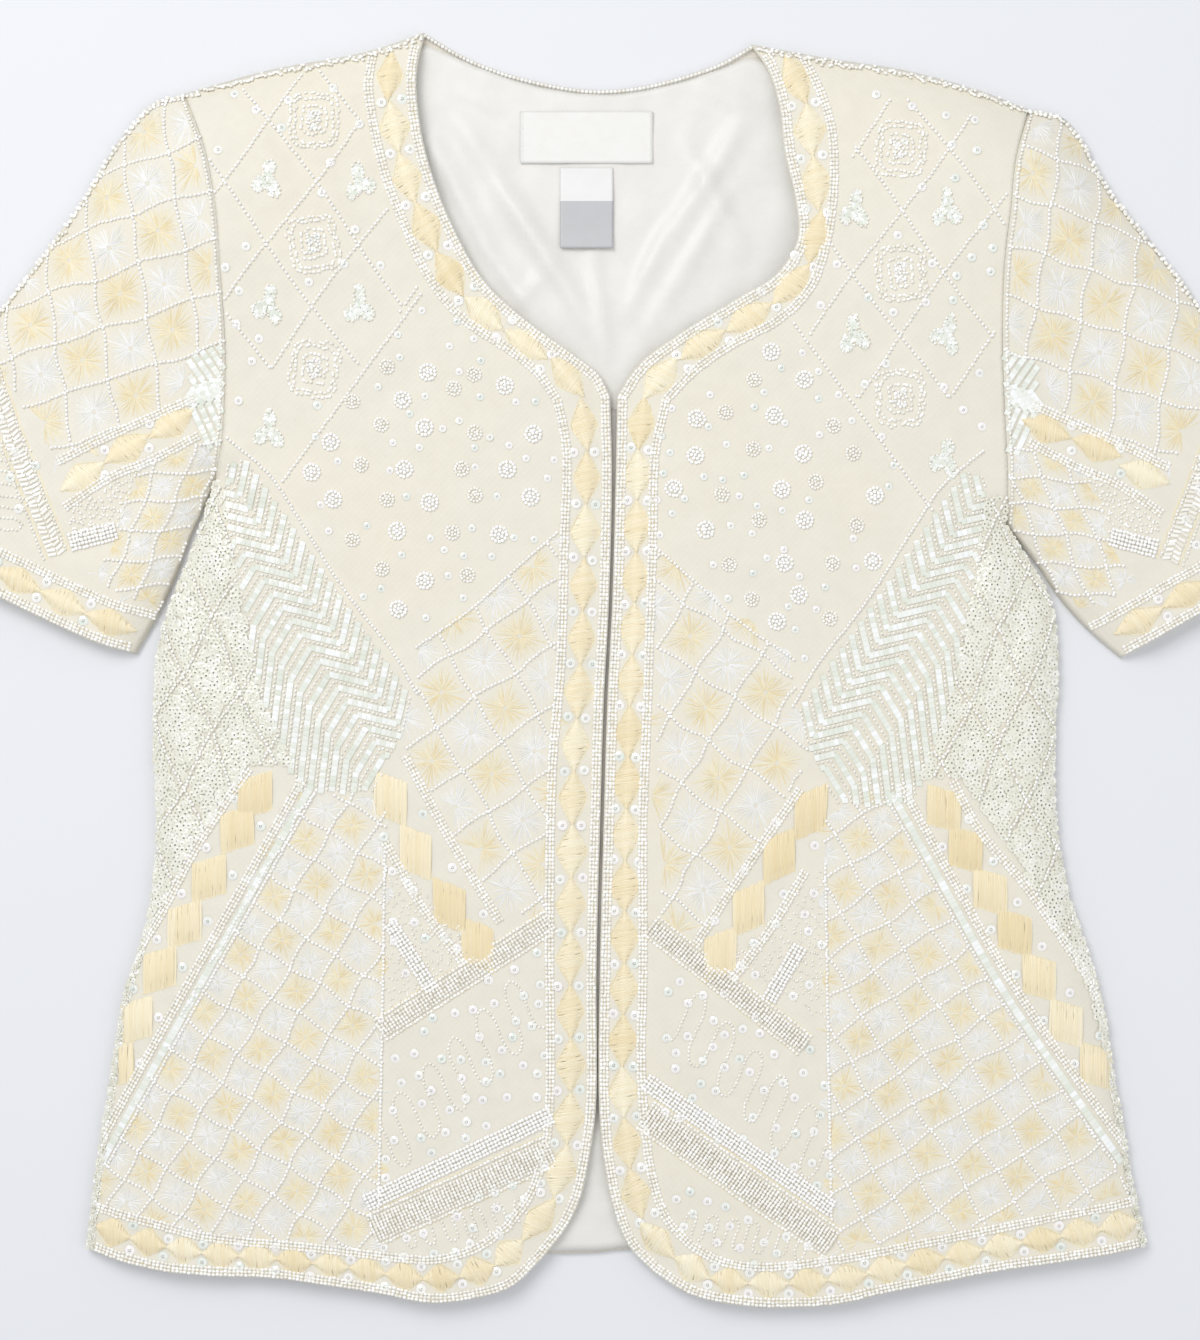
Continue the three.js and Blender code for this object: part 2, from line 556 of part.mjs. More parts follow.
// Care label: a satin ribbon hanging below the neck label, its free end lifting a little
function careLabelGeometry() {
  const { x1, y1, x2, y2, curl } = careLabel;
  const rows = 6;
  const outside = steps(rows).map((t) => steps(2).map((u) => new THREE.Vector3(
    THREE.MathUtils.lerp(x1, x2, u), THREE.MathUtils.lerp(y2, y1, t),
    liningTop + seamGap + labelWall + curl * t * t)));
  return wallGeometry(outside, movedDown(outside, labelWall));
}

// Closure: a tape under the front edges, its top following their undersides
function closureGeometry() {
  const grids = { right: frontGrid('right'), left: frontGrid('left') };
  const tapeTop = (side, p) => heightOn(grids[side], p.x, p.y) - bodyWall - seamGap;
  const fractions = steps(tapeStations).map((t) => THREE.MathUtils.lerp(tapeRun.from, tapeRun.to, t));
  const right = pointsAlong(seams.right.edge, fractions);
  const left = pointsAlong(seams.left.edge, fractions);
  const outside = right.map((p, k) => {
    const q = left[k];
    const z = Math.min(tapeTop('right', p), tapeTop('left', q));
    const middle = (p.x + q.x) / 2;
    return [-tapeHalfWidth, 0, tapeHalfWidth].map((dx) => new THREE.Vector3(middle + dx, p.y, z));
  });
  return wallGeometry(outside, movedDown(outside, tapeWall));
}

// Materials
const cloth = (color, roughness) => new THREE.MeshStandardMaterial({ color, roughness, metalness: 0 });
const jacket = new THREE.Group();

function addPiece(name, geometry, material) {
  const mesh = new THREE.Mesh(geometry, material);
  mesh.name = name;
  jacket.add(mesh);
}

addPiece('back', panelGeometry(backOutline(0, 0), 0, bodyWall), cloth(0xebe5d6, 0.75));
addPiece('back_lining', liningGeometry(), cloth(0xe9e5e0, 0.35));
addPiece('front_right', frontGeometry('right'), cloth(0xece6d2, 0.55));
addPiece('front_left', frontGeometry('left'), cloth(0xece6d2, 0.55));
addPiece('sleeve_right', sleeveGeometry('right'), cloth(0xece6d6, 0.55));
addPiece('sleeve_left', sleeveGeometry('left'), cloth(0xece6d6, 0.55));
addPiece('neck_label', panelGeometry(line([neckLabel.x1, neckLabel.y1], [neckLabel.x2, neckLabel.y1],
  [neckLabel.x2, neckLabel.y2],
  [neckLabel.x1, neckLabel.y2]), liningTop + seamGap, labelWall), cloth(0xf4f1ea, 0.6));
addPiece('care_label', careLabelGeometry(), cloth(0xd9d6d4, 0.4));
addPiece('closure_tape', closureGeometry(), cloth(0x8d867d, 0.7));

// The origin is the middle of the footprint, on the surface
const extent = new THREE.Box3().setFromObject(jacket);
const middle = extent.getCenter(new THREE.Vector3());
jacket.position.set(-middle.x, -middle.y, -extent.min.z);

export default jacket;
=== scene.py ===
import json
import math
import bmesh
import bpy
import numpy as np
from mathutils import Matrix, Vector

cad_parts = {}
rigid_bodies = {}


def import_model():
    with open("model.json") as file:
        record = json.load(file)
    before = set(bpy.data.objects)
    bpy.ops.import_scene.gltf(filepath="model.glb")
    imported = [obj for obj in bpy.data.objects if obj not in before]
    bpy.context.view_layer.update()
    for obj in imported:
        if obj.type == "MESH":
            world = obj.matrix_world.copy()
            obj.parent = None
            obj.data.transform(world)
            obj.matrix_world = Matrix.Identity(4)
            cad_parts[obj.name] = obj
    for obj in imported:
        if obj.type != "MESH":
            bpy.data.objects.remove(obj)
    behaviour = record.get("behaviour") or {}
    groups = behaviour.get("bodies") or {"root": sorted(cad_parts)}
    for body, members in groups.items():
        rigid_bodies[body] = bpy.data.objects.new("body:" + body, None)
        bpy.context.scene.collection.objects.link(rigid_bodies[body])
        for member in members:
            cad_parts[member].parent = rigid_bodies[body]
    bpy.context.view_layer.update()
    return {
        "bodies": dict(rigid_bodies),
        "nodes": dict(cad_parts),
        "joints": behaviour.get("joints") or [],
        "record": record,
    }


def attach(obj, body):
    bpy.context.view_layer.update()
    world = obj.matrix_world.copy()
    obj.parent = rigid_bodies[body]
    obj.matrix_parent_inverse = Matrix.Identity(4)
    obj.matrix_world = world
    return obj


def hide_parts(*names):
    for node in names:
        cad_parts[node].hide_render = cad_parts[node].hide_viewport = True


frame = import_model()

# Beaded evening jacket lying flat. Tables are in millimetres, right and left are the wearer's,
# and the right front lies at -X. Meshes are in metres, in the frame of the solids.
mm = 0.001
rng = np.random.default_rng(41)

# Camera, light and floor

view = {"distance": 1500.0, "frameHeight": 650.4, "centre": (-1.7, -0.5), "clothHeight": 8.0,
        "sensor": 36.0}
lamps = {
    "key": {"place": (-0.75, 0.95, 1.7), "size": 1.1, "power": 18.5},
    "fill": {"place": (0.9, -0.5, 1.6), "size": 1.6, "power": 5.5},
}


def makeCamera():
    data = bpy.data.cameras.new("photoCamera")
    data.sensor_width = view["sensor"]
    data.lens = view["sensor"] * (view["distance"] - view["clothHeight"]) / view["frameHeight"]
    data.clip_end = 20
    camera = bpy.data.objects.new("photoCamera", data)
    camera.location = (view["centre"][0] * mm, view["centre"][1] * mm, view["distance"] * mm)
    bpy.context.scene.collection.objects.link(camera)
    bpy.context.scene.camera = camera


def makeLamp(name, place, size, power):
    data = bpy.data.lights.new(name, "AREA")
    data.size = size
    data.energy = power
    lamp = bpy.data.objects.new(name, data)
    lamp.location = place
    lamp.rotation_euler = (-Vector(place)).to_track_quat("-Z", "Y").to_euler()
    bpy.context.scene.collection.objects.link(lamp)


makeCamera()
for lampName, lampFacts in lamps.items():
    makeLamp(lampName, **lampFacts)

world = bpy.data.worlds.new("softStudio")
bpy.context.scene.world = world
world.use_nodes = True
world.node_tree.nodes["Background"].inputs[0].default_value = (0.93, 0.95, 1.0, 1)
world.node_tree.nodes["Background"].inputs[1].default_value = 0.635
bpy.context.scene.view_settings.view_transform = "Standard"
print("camera and light placed")

# Shared shader groups


def socket(group, name, kind, inOut, value=None):
    made = group.interface.new_socket(name=name, in_out=inOut, socket_type=kind)
    if value is not None:
        made.default_value = value


def startGroup(name, inputs, outputs):
    group = bpy.data.node_groups.new(name, "ShaderNodeTree")
    for label, kind, value in inputs:
        socket(group, label, kind, "INPUT", value)
    for label, kind in outputs:
        socket(group, label, kind, "OUTPUT")
    return group, group.nodes.new("NodeGroupInput"), group.nodes.new("NodeGroupOutput")


def node(tree, kind, **settings):
    made = tree.nodes.new(kind)
    for key, value in settings.items():
        setattr(made, key, value)
    return made


def mathNode(tree, operation, a, b=None, clamp=False):
    made = node(tree, "ShaderNodeMath", operation=operation, use_clamp=clamp)
    for slotIndex, value in enumerate((a, b)):
        if value is None:
            continue
        if isinstance(value, (int, float)):
            made.inputs[slotIndex].default_value = value
        else:
            tree.links.new(value, made.inputs[slotIndex])
    return made.outputs[0]


def mixColour(tree, factor, a, b, blend="MIX"):
    made = node(tree, "ShaderNodeMix", data_type="RGBA", blend_type=blend)
    for slotIndex, value in ((0, factor), (6, a), (7, b)):
        if isinstance(value, (int, float)):
            made.inputs[slotIndex].default_value = value
        elif isinstance(value, tuple):
            made.inputs[slotIndex].default_value = (*value, 1)
        else:
            tree.links.new(value, made.inputs[slotIndex])
    return made.outputs[2]


def noiseNode(tree, vector, scale, detail=3.0, roughness=0.55):
    made = node(tree, "ShaderNodeTexNoise")
    made.inputs["Scale"].default_value = scale
    made.inputs["Detail"].default_value = detail
    made.inputs["Roughness"].default_value = roughness
    tree.links.new(vector, made.inputs["Vector"])
    return made.outputs["Fac"]


# Cloth tone: a base colour that drifts softly between two others over the cloth
toneFacts = {"broad": 9.0, "fine": 160.0, "contrast": 2.4, "grain": 0.16, "grainColour": (0.62, 0.55, 0.44)}


def clothToneGroup():
    group, start, end = startGroup("clothTone", [
        ("Base", "NodeSocketColor", (0.8, 0.8, 0.8, 1)), ("Warm", "NodeSocketColor", (0.8, 0.7, 0.6, 1)),
        ("Cool", "NodeSocketColor", (0.8, 0.8, 0.8, 1)), ("Drift", "NodeSocketFloat", 0.5),
        ("Vector", "NodeSocketVector", None)], [("Color", "NodeSocketColor")])
    broad = noiseNode(group, start.outputs["Vector"], toneFacts["broad"])
    fine = noiseNode(group, start.outputs["Vector"], toneFacts["fine"], 2.0)
    colour = start.outputs["Base"]
    for ends, label in (((broad, 0.5), "Warm"), ((0.5, broad), "Cool")):
        share = mathNode(group, "MULTIPLY", mathNode(group, "SUBTRACT", *ends), toneFacts["contrast"], True)
        colour = mixColour(group, mathNode(group, "MULTIPLY", share, start.outputs["Drift"]), colour,
                           start.outputs[label])
    grain = mixColour(group, mathNode(group, "MULTIPLY", fine, toneFacts["grain"]), colour,
                      toneFacts["grainColour"], "MULTIPLY")
    group.links.new(grain, end.inputs["Color"])
    return group


# Weave: crossing threads as a height, with slubs along one of them
def weaveGroup():
    group, start, end = startGroup("weave", [
        ("Vector", "NodeSocketVector", None), ("Pitch", "NodeSocketFloat", 1400.0),
        ("Slub", "NodeSocketFloat", 0.4)], [("Height", "NodeSocketFloat")])
    separate = node(group, "ShaderNodeSeparateXYZ")
    group.links.new(start.outputs["Vector"], separate.inputs[0])
    warp = mathNode(group, "SINE", mathNode(group, "MULTIPLY", separate.outputs[0],
                                            start.outputs["Pitch"]))
    weft = mathNode(group, "SINE", mathNode(group, "MULTIPLY", separate.outputs[1],
                                            start.outputs["Pitch"]))
    cross = mathNode(group, "MULTIPLY", warp, weft)
    stretch = node(group, "ShaderNodeMapping")
    stretch.inputs["Scale"].default_value = (1.0, 14.0, 1.0)
    group.links.new(start.outputs["Vector"], stretch.inputs["Vector"])
    slub = noiseNode(group, stretch.outputs[0], 60.0, 3.0)
    lifted = mathNode(group, "MULTIPLY", slub, start.outputs["Slub"])
    group.links.new(mathNode(group, "ADD", mathNode(group, "MULTIPLY", cross, 0.25), lifted),
                    end.inputs["Height"])
    return group


# Bead tone: each small piece carries its own tone attribute, which picks a colour between two ends
def pieceToneGroup():
    group, start, end = startGroup("pieceTone", [
        ("Tone", "NodeSocketFloat", 0.5), ("Low", "NodeSocketColor", (0.8, 0.8, 0.8, 1)),
        ("Middle", "NodeSocketColor", (0.8, 0.8, 0.8, 1)),
        ("High", "NodeSocketColor", (0.9, 0.9, 0.9, 1))],
        [("Color", "NodeSocketColor")])
    lower = mathNode(group, "MULTIPLY", start.outputs["Tone"], 2.0, True)
    upper = mathNode(group, "MULTIPLY", mathNode(group, "SUBTRACT", start.outputs["Tone"], 0.5), 2.0,
                     True)
    first = mixColour(group, lower, start.outputs["Low"], start.outputs["Middle"])
    group.links.new(mixColour(group, upper, first, start.outputs["High"]), end.inputs["Color"])
    return group


# Satin stitch: threads laid side by side along V, a few of them lying apart; the Gap output is high in the low
# places between threads, where the material paints shade
def stitchGroup():
    group, start, end = startGroup("satinStitch", [
        ("Vector", "NodeSocketVector", None), ("Threads", "NodeSocketFloat", 14.0)],
        [("Height", "NodeSocketFloat"), ("Gap", "NodeSocketFloat")])
    separate = node(group, "ShaderNodeSeparateXYZ")
    group.links.new(start.outputs["Vector"], separate.inputs[0])
    wander = noiseNode(group, start.outputs["Vector"], 2.2, 2.0)
    across = mathNode(group, "ADD", separate.outputs[0], mathNode(group, "MULTIPLY", wander, 0.16))
    wave = mathNode(group, "SINE", mathNode(group, "MULTIPLY", across, start.outputs["Threads"]))
    stretch = node(group, "ShaderNodeMapping")
    stretch.inputs["Scale"].default_value = (16.0, 1.2, 1.0)
    group.links.new(start.outputs["Vector"], stretch.inputs["Vector"])
    clump = noiseNode(group, stretch.outputs[0], 1.0, 3.0)
    threads = mathNode(group, "ADD", mathNode(group, "MULTIPLY", wave, 0.3), 0.3)
    height = mathNode(group, "ADD", threads, mathNode(group, "MULTIPLY", clump, 0.5), True)
    group.links.new(height, end.inputs["Height"])
    group.links.new(mathNode(group, "POWER", mathNode(group, "SUBTRACT", 1.0, height), 3.0),
                    end.inputs["Gap"])
    return group


toneGroup = clothToneGroup()
weavingGroup = weaveGroup()
pieceGroup = pieceToneGroup()
satinGroup = stitchGroup()


def startMaterial(name, roughness, **sockets):
    material = bpy.data.materials.new(name)
    material.use_nodes = True
    tree = material.node_tree
    shader = tree.nodes["Principled BSDF"]
    shader.inputs["Roughness"].default_value = roughness
    for label, value in sockets.items():
        shader.inputs[label.replace("_", " ")].default_value = value
    return material, tree, shader


def placeGroup(tree, group, **values):
    made = node(tree, "ShaderNodeGroup", node_tree=group)
    for label, value in values.items():
        if isinstance(value, tuple):
            made.inputs[label].default_value = (*value, 1)
        elif isinstance(value, (int, float)):
            made.inputs[label].default_value = value
        else:
            tree.links.new(value, made.inputs[label])
    return made


def addBump(tree, shader, height, strength, distance):
    bump = node(tree, "ShaderNodeBump")
    bump.inputs["Strength"].default_value = strength
    bump.inputs["Distance"].default_value = distance
    tree.links.new(height, bump.inputs["Height"])
    tree.links.new(bump.outputs[0], shader.inputs["Normal"])


def clothMaterial(name, base, warm, cool, roughness, drift=0.6, pitch=1900.0, slub=0.5, bump=0.25,
                  **sockets):
    material, tree, shader = startMaterial(name, roughness, **sockets)
    place = node(tree, "ShaderNodeTexCoord").outputs["Object"]
    tone = placeGroup(tree, toneGroup, Base=base, Warm=warm, Cool=cool, Drift=drift, Vector=place)
    tree.links.new(tone.outputs["Color"], shader.inputs["Base Color"])
    weave = placeGroup(tree, weavingGroup, Vector=place, Pitch=pitch, Slub=slub)
    addBump(tree, shader, weave.outputs["Height"], bump, 0.0006)
    return material


# Painted shade: the satin colour is multiplied toward gapColour in the gaps between the stitched threads
stitchFacts = {"gapShade": 0.8, "gapColour": (0.8, 0.68, 0.45), "bump": 0.55, "depth": 0.0005}


# Threads are given for satin stitch only, which has its own UV along the stitches
def pieceMaterial(name, low, middle, high, roughness, threads=None, **sockets):
    material, tree, shader = startMaterial(name, roughness, **sockets)
    tone = node(tree, "ShaderNodeAttribute", attribute_name="tone")
    colour = placeGroup(tree, pieceGroup, Tone=tone.outputs["Fac"], Low=low, Middle=middle,
                        High=high).outputs[0]
    if threads:
        place = node(tree, "ShaderNodeUVMap", uv_map="stitch").outputs[0]
        stitch = placeGroup(tree, satinGroup, Vector=place, Threads=threads)
        gap = mathNode(tree, "MULTIPLY", stitch.outputs["Gap"], stitchFacts["gapShade"])
        colour = mixColour(tree, gap, colour, stitchFacts["gapColour"], "MULTIPLY")
        addBump(tree, shader, stitch.outputs["Height"], stitchFacts["bump"], stitchFacts["depth"])
    tree.links.new(colour, shader.inputs["Base Color"])
    return material


silkGround = clothMaterial("silkGround", (0.845, 0.805, 0.685), (0.88, 0.8, 0.63), (0.85, 0.82, 0.74),
                           0.62, Sheen_Weight=0.25)
backSilk = clothMaterial("backSilk", (0.8, 0.76, 0.67), (0.83, 0.77, 0.63), (0.8, 0.78, 0.71), 0.66)
liningSatin = clothMaterial("liningSatin", (0.85, 0.835, 0.79), (0.86, 0.83, 0.77), (0.82, 0.81, 0.785),
                            0.42, pitch=2600.0, slub=0.2, bump=0.1)
labelWeave = clothMaterial("labelWeave", (0.9, 0.89, 0.85), (0.9, 0.88, 0.82), (0.88, 0.88, 0.87), 0.5,
                           pitch=4200.0, slub=0.15, bump=0.3)
ribbonWhite = clothMaterial("ribbonWhite", (0.88, 0.87, 0.85), (0.88, 0.87, 0.83), (0.86, 0.86, 0.86),
                            0.36, pitch=4200.0, slub=0.1, bump=0.15)
ribbonGrey = clothMaterial("ribbonGrey", (0.56, 0.56, 0.57), (0.6, 0.59, 0.57), (0.52, 0.53, 0.55), 0.34,
                           pitch=4200.0, slub=0.1, bump=0.15)
tapeWeave = clothMaterial("tapeWeave", (0.46, 0.44, 0.41), (0.5, 0.46, 0.41), (0.42, 0.42, 0.41), 0.7,
                          pitch=5200.0, slub=0.3, bump=0.4)
# White and clear glass glow faintly through their emission: painted light that lifts the shade between the
# beads
whiteGlass = pieceMaterial("whiteGlass", (0.89, 0.88, 0.85), (0.95, 0.94, 0.92), (1.0, 0.99, 0.97), 0.24,
                           Coat_Weight=0.4, Emission_Color=(1, 0.98, 0.94, 1), Emission_Strength=0.08)
clearGlass = pieceMaterial("clearGlass", (0.8, 0.77, 0.68), (0.91, 0.89, 0.83), (1.0, 1.0, 0.98), 0.2,
                           Coat_Weight=0.5, Emission_Color=(1, 0.97, 0.9, 1), Emission_Strength=0.09)
pearlSequin = pieceMaterial("pearlSequin", (0.82, 0.86, 0.79), (0.94, 0.93, 0.88), (0.95, 0.91, 0.89),
                            0.16, Coat_Weight=0.7)
mintSequin = pieceMaterial("mintSequin", (0.76, 0.74, 0.61), (0.86, 0.845, 0.72), (0.96, 0.95, 0.89),
                           0.22, Coat_Weight=0.5)
tileSequin = pieceMaterial("tileSequin", (0.78, 0.81, 0.7), (0.86, 0.88, 0.79), (0.98, 0.99, 0.97), 0.2,
                           Coat_Weight=0.5)
yellowSatin = pieceMaterial("yellowSatin", (0.88, 0.76, 0.49), (0.92, 0.82, 0.57), (0.95, 0.88, 0.66),
                            0.4, threads=58.0, Sheen_Weight=0.2)
# The yellow strands glow faintly through their emission: painted light
yellowStrand = pieceMaterial("yellowStrand", (0.86, 0.72, 0.44), (0.92, 0.81, 0.56), (0.97, 0.9, 0.7),
                             0.38, Sheen_Weight=0.2, Emission_Color=(1, 0.9, 0.65, 1),
                             Emission_Strength=0.02)
yellowThread = pieceMaterial("yellowThread", (0.87, 0.73, 0.43), (0.91, 0.81, 0.56), (0.94, 0.87, 0.66),
                             0.45)
whiteThread = pieceMaterial("whiteThread", (0.84, 0.83, 0.77), (0.9, 0.89, 0.85), (0.95, 0.95, 0.93),
                            0.45)
print("materials made")

# The garment's seams, in millimetres

seams = {
    "right": {
        "side": [(-251.2, -282.3), (-245.9, -238.1), (-240.5, -204.6), (-232.7, -157), (-224.5, -131.8),
                 (-219.2, -108.5), (-217.2, -74.5), (-218.7, -33.2), (-217, 6.6), (-212.6, 26),
                 (-199.2, 60), (-189, 91.5)],
        "armhole": [(-189, 91.5), (-185.2, 108.5), (-182.8, 154.6), (-184.7, 191), (-186.6, 220.6),
                    (-192, 250.2), (-203.6, 279.8)],
        "shoulder": [(-203.6, 279.8), (-162.9, 291), (-114.8, 300.2), (-87.1, 309.4)],
        "neckline": [(-87.1, 309.4), (-90.6, 290.5), (-90, 272.6), (-85.2, 246.8), (-74, 216.5),
                     (-57.5, 187.5), (-35.7, 167.5), (-13.3, 151.5), (-2, 142.5), (3.2, 132.3)],
        "edge": [(3.2, 132.3), (4.1, 96.4), (2.7, 33.2), (0.2, -15.3), (-1.7, -78.4), (-3.4, -144.9),
                 (-3.8, -214.8), (-7, -238.6), (-10.9, -256.5), (-17.7, -271.1), (-29.4, -286.1)],
        "hem": [(-29.4, -286.1), (-43.4, -299.2), (-60.4, -305.1), (-83.2, -307.5), (-106.1, -303.6),
                (-130.3, -299.7), (-157, -295.9), (-191, -294.4), (-220.1, -291), (-251.2, -282.3)],
        "sleeveOuter": [(-203.6, 279.8), (-218.7, 275.5), (-227.9, 266.7), (-237.1, 255.6),
                        (-257.5, 222.6), (-292.9, 176), (-331.8, 129), (-358, 90), (-370.6, 65.8)],
        "sleeveInner": [(-189.6, 91.5), (-195.9, 77), (-201.4, 64.3), (-207.5, 47.8), (-215.3, 29.5),
                        (-227.4, 7)],
        "cuff": [(-370.6, 65.8), (-331.8, 50), (-292.9, 34.2), (-272.1, 24.2), (-244.4, 11.9),
                 (-227.4, 7)],
        "backHem": [(-247.5, -277.4), (-200, -281), (-120, -284.5), (-23.5, -285.2), (0, -284.4)],
        "bandNeck": [(-112.4, 297), (-114, 283), (-111.3, 263), (-105.1, 237.1), (-95.5, 212.8),
                     (-84, 188.5), (-68, 169.5), (-47.8, 156), (-32.8, 144.4), (-22.6, 130.3)],
        "bandEdge": [(-22.6, 130.3), (-18.2, 108), (-19.2, 59.5), (-21, 0), (-25, -48.8), (-26.3, -120.6),
                     (-26, -202.2), (-27.9, -228.9), (-34.7, -253.1), (-47, -270.5)],
        "bandHem": [(-47, -270.5), (-60.4, -280), (-80.3, -286), (-105, -285), (-137.6, -280.8),
                    (-191.5, -275.5), (-218.2, -268.7), (-246.2, -261.4)],
    },
    "left": {
        "side": [(264.3, -280.8), (258.5, -254.6), (247.8, -195.4), (242.9, -164.3), (234.2, -133.2),
                 (226.9, -112.4), (220.1, -74), (219.2, -39.6), (220.8, 6.6), (217.6, 33.2),
                 (207.4, 51.7), (196, 69.7)],
        "armhole": [(196, 69.7), (195.7, 96.4), (194.2, 125.5), (192.5, 164.3), (193.4, 198.3),
                    (195.9, 220.6), (198.8, 246.3), (206.5, 272.1)],
        "shoulder": [(206.5, 272.1), (184.2, 280.8), (146.8, 291), (109.9, 296.8), (72.1, 303.6)],
        "neckline": [(72.1, 303.6), (79.4, 291.5), (85.2, 272.6), (87.8, 250.2), (93.2, 226), (94, 208),
                     (84.2, 191.5), (62.4, 177.9), (34.7, 160.9), (16.8, 147), (6.6, 132.3)],
        "edge": [(6.6, 132.3), (6, 96.4), (4.3, 33.2), (1.9, -15.3), (0, -78.4), (-1.7, -144.9),
                 (-2.1, -213.3), (0.4, -241), (5, -263.3), (11.9, -280.3), (24.5, -293.4)],
        "hem": [(24.5, -293.4), (42, -303.6), (61.9, -308), (84.7, -309.9), (114.3, -308),
                (135.2, -303.1), (162.9, -297.8), (189.1, -292.5), (223.5, -287.6), (264.3, -280.8)],
        "sleeveOuter": [(206.5, 272.1), (223, 268.7), (230.3, 261.4), (247.3, 231.8), (271.6, 201.7),
                        (311.4, 148), (346, 103.5), (370.6, 71.1)],
        "sleeveInner": [(196.8, 69.7), (211.9, 49.8), (221.6, 35.2), (234.7, 20.1), (251.7, 5.1)],
        "cuff": [(370.6, 71.1), (328.4, 47.8), (289.5, 26.5), (251.7, 5.1)],
        "backHem": [(260.6, -275.5), (190, -279.6), (90, -283), (10.9, -283), (0, -284.4)],
        "bandNeck": [(97, 297), (103.5, 283), (109.9, 263.3), (111.4, 237.1), (108, 208), (100, 184.5),
                     (84, 168.6), (63.8, 158), (44.4, 144.9), (30.3, 130.3)],
        "bandEdge": [(30.3, 130.3), (25, 105), (23.6, 60), (21, -20.1), (19, -71.6), (19, -144.9),
                     (18.4, -200), (24, -248.8), (31.8, -268.7), (43.4, -280.3)],
        "bandHem": [(43.4, -280.3), (57.5, -287.3), (78.9, -290), (114.3, -286.1), (162.9, -276.9),
                    (223.5, -264.8), (258.8, -258.5)],
    },
}
backNeck = [(-87.1, 309.4), (-69.2, 298.8), (-50.7, 291), (-26.5, 284.7), (-6.1, 281.8), (16.3, 283.2),
            (38.6, 288.5), (57, 295), (72.1, 303.6)]
plumb = 0.25  # the solids sit this much further toward the neck than the tables, in millimetres


def smoothRun(rows, count=None, fractions=None):
    points = np.array(rows, float)
    points = np.vstack([2 * points[0] - points[1], points, 2 * points[-1] - points[-2]])
    dense = []
    for four in zip(points, points[1:], points[2:], points[3:]):
        pairs = list(zip(four, four[1:]))
        knots = np.cumsum([0] + [max(np.linalg.norm(q - p), 1e-6) ** 0.5 for p, q in pairs])
        t = np.linspace(knots[1], knots[2], 17)[:-1, None]
        blend = lambda p, q, lo, hi: (hi - t) / (hi - lo) * p + (t - lo) / (hi - lo) * q
        ab, bc, cd = (blend(p, q, knots[i], knots[i + 1]) for i, (p, q) in enumerate(pairs))
        abc, bcd = blend(ab, bc, knots[0], knots[2]), blend(bc, cd, knots[1], knots[3])
        dense.append(blend(abc, bcd, knots[1], knots[2]))
    dense = np.vstack([*dense, points[-2][None]])
    lengths = np.concatenate([[0], np.cumsum(np.linalg.norm(np.diff(dense, axis=0), axis=1))])
    if fractions is None:
        fractions = np.linspace(0, 1, count + 1)
    wanted = np.asarray(fractions) * lengths[-1]
    return np.column_stack([np.interp(wanted, lengths, dense[:, k]) for k in (0, 1)])


def runLength(rows):
    return np.linalg.norm(np.diff(smoothRun(rows, 60), axis=0), axis=1).sum()


def offsetRun(run, distance):
    heading = np.gradient(run, axis=0)
    heading /= np.linalg.norm(heading, axis=1)[:, None]
    return run + distance * np.column_stack([-heading[:, 1], heading[:, 0]])


def distanceToRun(points, run):
    nearest = np.full(len(points), 1e9)
    for a, b in zip(run[:-1], run[1:]):
        step = b - a
        t = np.clip(((points - a) @ step) / max(step @ step, 1e-9), 0, 1)
        nearest = np.minimum(nearest, np.linalg.norm(points - a - t[:, None] * step, axis=1))
    return nearest


# The lying cloth's height above the surface

clothForm = {
    "restRise": 10.4, "frontEdgeFall": 2.8, "frontEdgeReach": 17, "closedReach": 20,
    "closedRoundness": 0.85,
    "frontSeamTop": 4.3, "sleeveFoldTop": 2.2, "liningTop": 3.3, "hemReach": 70, "hemLine": -310,
}
mounds = {
    "right": [(-188, 226, 10.5, 50), (-112, 84, 1.4, 55), (-300, 120, 0.8, 40)],
    "left": [(194, 220, 10.5, 50), (118, 84, 1.4, 55), (300, 120, 0.8, 40)],
}
creases = {  # from, to, rise, width
    "right": [(-172, 122, -200, 66, 1.4, 9), (-232, 210, -300, 128, 1.2, 13),
              (-214, 96, -262, 50, -1.6, 9), (-150, -60, -160, -262, 1.1, 15),
              (-84, 150, -120, 118, -0.9, 11), (-196, 66, -172, 18, 1.7, 5),
              (-208, 50, -180, -10, -1.5, 5), (-184, 92, -160, 56, -1.4, 4.5),
              (-60, -225, -66, -296, 0.7, 7), (-190, 236, -196, 176, -0.8, 6),
              (-204, 128, -236, 76, 0.7, 6)],
    "left": [(156, 92, 157, 18, 1.5, 9), (124, -44, 126, -270, 1.6, 13), (95, 164, 122, 130, -0.9, 11),
             (222, 92, 284, 44, -1.3, 11), (240, 206, 306, 122, 1.2, 13), (196, -90, 212, -250, 0.9, 13),
             (168, 88, 188, 34, -1.7, 5), (190, 66, 182, 14, 1.5, 5), (206, 50, 196, -4, -1.3, 5),
             (106, 172, 130, 150, 0.8, 5), (70, -230, 74, -300, 0.6, 7), (212, 118, 240, 78, 0.7, 6)],
}
hemRipple = {"right": (1.5, 58, -232), "left": (0.8, 74, 90)}
puckers = [(0.2, 23, 0.3), (0.2, 31, 1.4), (0.1, 17, 2.3), (0.16, 41, 0.9)]  # rise, wavelength, heading

closedRuns = {side: [smoothRun(seam[name], 30) for name in ("side", "shoulder", "sleeveOuter",
                                                            "sleeveInner")]
              for side, seam in seams.items()}
edgeRuns = {side: smoothRun(seam["edge"], 30) for side, seam in seams.items()}


